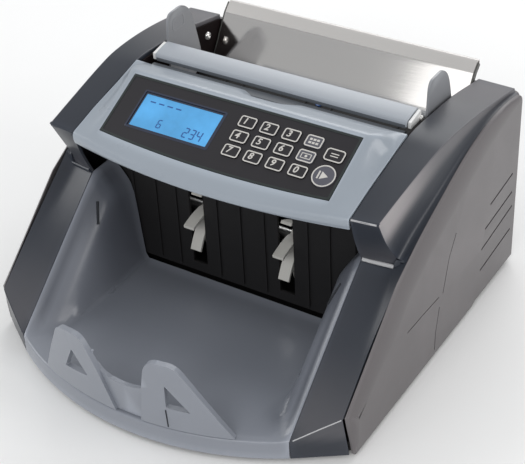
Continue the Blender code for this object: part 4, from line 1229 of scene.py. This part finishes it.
def motor():
    piece = Piece("motor_can", "zinc", "motor")
    x0, x1, r = -20, 62, 22
    profile = [(x0 + 4, 3.6), (x0 + 4, 6), (x0, 6), (x0, r - 2.6), (x0 + 0.8, r - 0.9), (x0 + 2.6, r),
               (x0 + 16, r), (x0 + 16.4, r - 0.5), (x0 + 17, r - 0.5), (x0 + 17.4, r), (x1 - 2.6, r),
               (x1 - 0.8, r - 0.9), (x1, r - 2.6), (x1, 8), (x1 + 3, 8), (x1 + 3, 3.6)]
    y, z = AXIS["motor"]
    piece.add(revolve(profile, (y, z), 56))
    for a in (0.6, 2.2, 3.8, 5.4):
        piece.add(screw(x1, y + 14 * cos(a), z + 14 * sin(a), 0, 1, 1.8), "dark_steel")
    band = [(x0 + 24, r - 0.1), (x0 + 24, r + 0.35), (x0 + 56, r + 0.35), (x0 + 56, r - 0.1)]
    piece.add(revolve(band, (y, z), 56), "nylon")
    piece.done(36)


def boards():
    """Components on the main circuit board."""
    piece = Piece("main_board_parts", "board")
    x = -112.5
    rng = np.random.default_rng(7)
    for k in range(26):
        y, z = rng.uniform(28, 110), rng.uniform(30, 84)
        w, h, t = rng.uniform(2, 8), rng.uniform(1.5, 6), rng.uniform(0.8, 2.8)
        tint = ("black", "nylon", "black", "copper")[k % 4]
        piece.plate([rect(y, z, y + w, z + h)], along_x, x, x - t, 0.15, tint)
    for y, z in ((40, 76), (58, 70), (96, 40)):
        piece.add(turned([(x, 0), (x, 4), (x - 8, 4), (x - 8.6, 3.4), (x - 8.6, 0)], (y, z), 24), "black")
    piece.done()


def inlet():
    """Three-pin inlet with its pins, the rocker switch and the fuse cap."""
    piece = Piece("inlet_socket", "black", "power_inlet")
    outer = rounded_rect(-98, 17, -70, 39, 2)
    inner = rounded_rect(-95.4, 19.6, -72.6, 36.4, 2.4)
    piece.plate([outer, inner], along_y, 122.2, REAR_Y + 0.2, 0.3)
    piece.plate([outer], along_y, 118, 122, 0.3)
    for x, z in ((-90.2, 25), (-84, 30), (-77.8, 25)):
        piece.plate([rect(x - 1, z - 2, x + 1, z + 2)], along_y, 122, 134.5, 0.4, "bright")
    piece.done()
    piece = Piece("switch_bezel", "black", "switch_frame")
    loops = [rounded_rect(-60, 18, -46, 38, 1), rounded_rect(-58, 20, -48, 36, 0.6)]
    piece.plate(loops, along_y, 127.2, REAR_Y + 0.2, 0.3)
    piece.plate([loops[0]], along_y, 122, 127, 0.2)
    piece.done()
    piece = Piece("rocker_button", "black", "switch_rocker", body="rocker")
    side = [(133, 21.2), (136, 21), (138.6, 21.4), (138.9, 22.2), (137.4, 28), (136.4, 34.6), (135.8, 35.1),
            (133, 34.8), (131, 28)]
    piece.plate([side], along_x, -57.4, -48.6, 0.3)
    line = [rect(-53.25, 30.6, -52.75, 33.4)]
    piece.plate(line, along_y, 136.6, 137.15, 0, "ink")
    ring = [(137.9, 1.1), (137.9, 1.5), (138.4, 1.5), (138.4, 1.1)]
    piece.add(revolve(ring, (-53, 24), 20, 1), "ink")
    piece.done()
    piece = Piece("fuse_cap", "black", "fuse_holder")
    body = [(120, 0), (120, 5.6), (REAR_Y - 0.2, 5.6), (REAR_Y + 0.2, 6), (REAR_Y + 1.2, 6),
            (REAR_Y + 1.6, 5.5), (REAR_Y + 1.6, 0)]
    piece.add(turned(body, (-30, 28), 36, 1))
    piece.done()


def foot(node):
    lo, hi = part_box(node)
    x, y = 500 * (lo[0] + hi[0]), 500 * (lo[1] + hi[1]) - CENTRE_Y
    piece = Piece(f"{node}_pad", "rubber", node)
    profile = [(0.4, 0), (0.4, 6.6), (0, 7), (0, 8.2), (0.5, 8.8), (1.4, 9), (3.3, 8.6), (3.7, 8.2), (3.7, 0)]
    piece.add(turned(profile, (x, y), 40, 2))
    piece.done(40)


def carry(material, round_off, *nodes):
    """Give a CAD node a finish, and break its edges."""
    for name in nodes:
        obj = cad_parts[name]
        obj.data.materials.clear()
        obj.data.materials.append(MATERIALS[material])
        if round_off:
            mod = obj.modifiers.new("Edges", "BEVEL")
            mod.width, mod.segments, mod.limit_method = round_off * MM, 2, "ANGLE"
            mod.angle_limit = radians(40)
            mod.harden_normals = True


# ---- stage

def stage():
    bm = bmesh.new()
    bmesh.ops.create_grid(bm, x_segments=8, y_segments=8, size=4)
    mesh = to_mesh(bm, "floor")
    mesh.materials.append(MATERIALS["floor"])
    floor = placed("floor", mesh)


def area_light(name, place, size, power, colour=(1, 1, 1), aim=(0, 0, 0.06)):
    data = bpy.data.lights.new(name, "AREA")
    data.shape = "RECTANGLE"
    data.size, data.size_y = size
    data.energy = power
    data.color = colour
    obj = placed(name, data)
    obj.location = place
    obj.rotation_euler = (Vector(aim) - Vector(place)).to_track_quat("-Z", "Y").to_euler()


def lights():
    world = bpy.data.worlds.new("studio")
    world.use_nodes = True
    background = world.node_tree.nodes["Background"].inputs
    background["Color"].default_value = (0.96, 0.98, 1, 1)
    background["Strength"].default_value = 0.54
    bpy.context.scene.world = world
    area_light("rear_key", (-0.1, 1.3, 1.05), (1.8, 0.9), 12.5)
    area_light("front_key", (0.3, -1.5, 0.95), (1, 0.7), 9)
    area_light("right_fill", (1.45, 0.05, 0.75), (0.9, 0.8), 7.5, (1, 0.98, 0.97))
    area_light("left_fill", (-1.5, -0.3, 0.85), (0.9, 0.9), 8)
    area_light("glint", (-0.45, -1.05, 1.02), (0.16, 0.4), 0.26, aim=(0.08, 0.13, 0.13))


CAMERA_PLACE = (0.41978, -0.60598, 0.58741)
CAMERA_TURN = (33.79, 35.54, -3.06)
CAMERA_LENS = 95.96


def camera():
    azimuth, elevation, roll = (radians(a) for a in CAMERA_TURN)
    level = Vector((cos(azimuth), sin(azimuth), 0))
    ahead = Vector((-level.y, level.x, 0)) * cos(elevation) - Vector((0, 0, sin(elevation)))
    above = level.cross(ahead)
    right = cos(roll) * level + sin(roll) * above
    up = -sin(roll) * level + cos(roll) * above
    data = bpy.data.cameras.new("camera")
    data.lens, data.sensor_width = CAMERA_LENS, 36
    data.clip_start, data.clip_end = 0.05, 20
    obj = placed("camera", data)
    turn = Matrix((right, up, -ahead)).transposed().to_4x4()
    obj.matrix_world = Matrix.Translation(CAMERA_PLACE) @ turn
    bpy.context.scene.camera = obj


def main():
    bpy.context.scene.view_settings.view_transform = "Standard"
    camera()
    lights()
    stage()
    for word in SIDES:
        for build in (side_cover, side_frame, mech_plate, guide):
            build(word)
    for build in (front_tray, note_stop, control_bezel, overlay, keys, display, hopper_bar, hopper_plate,
                  hopper_floor, pocket_wall, rear_cover):
        build()
    for word in SIDES:
        roller("pickup", word, 13.5)
        roller("feed", word, 12)
        stacker_wheel(word)
    for build in (shaft, pulley):
        for name in DRIVE:
            build(name)
    motor()
    boards()
    inlet()
    for end in ("front", "rear"):
        for word in SIDES:
            foot(f"foot_{end}_{word}")
    carry("black", 0.5, "base_pan")
    carry("rubber", 0.2, "drive_belt")
    carry("board", 0.1, "control_board", "main_board")
    carry("zinc", 0.6, "power_supply")


main()
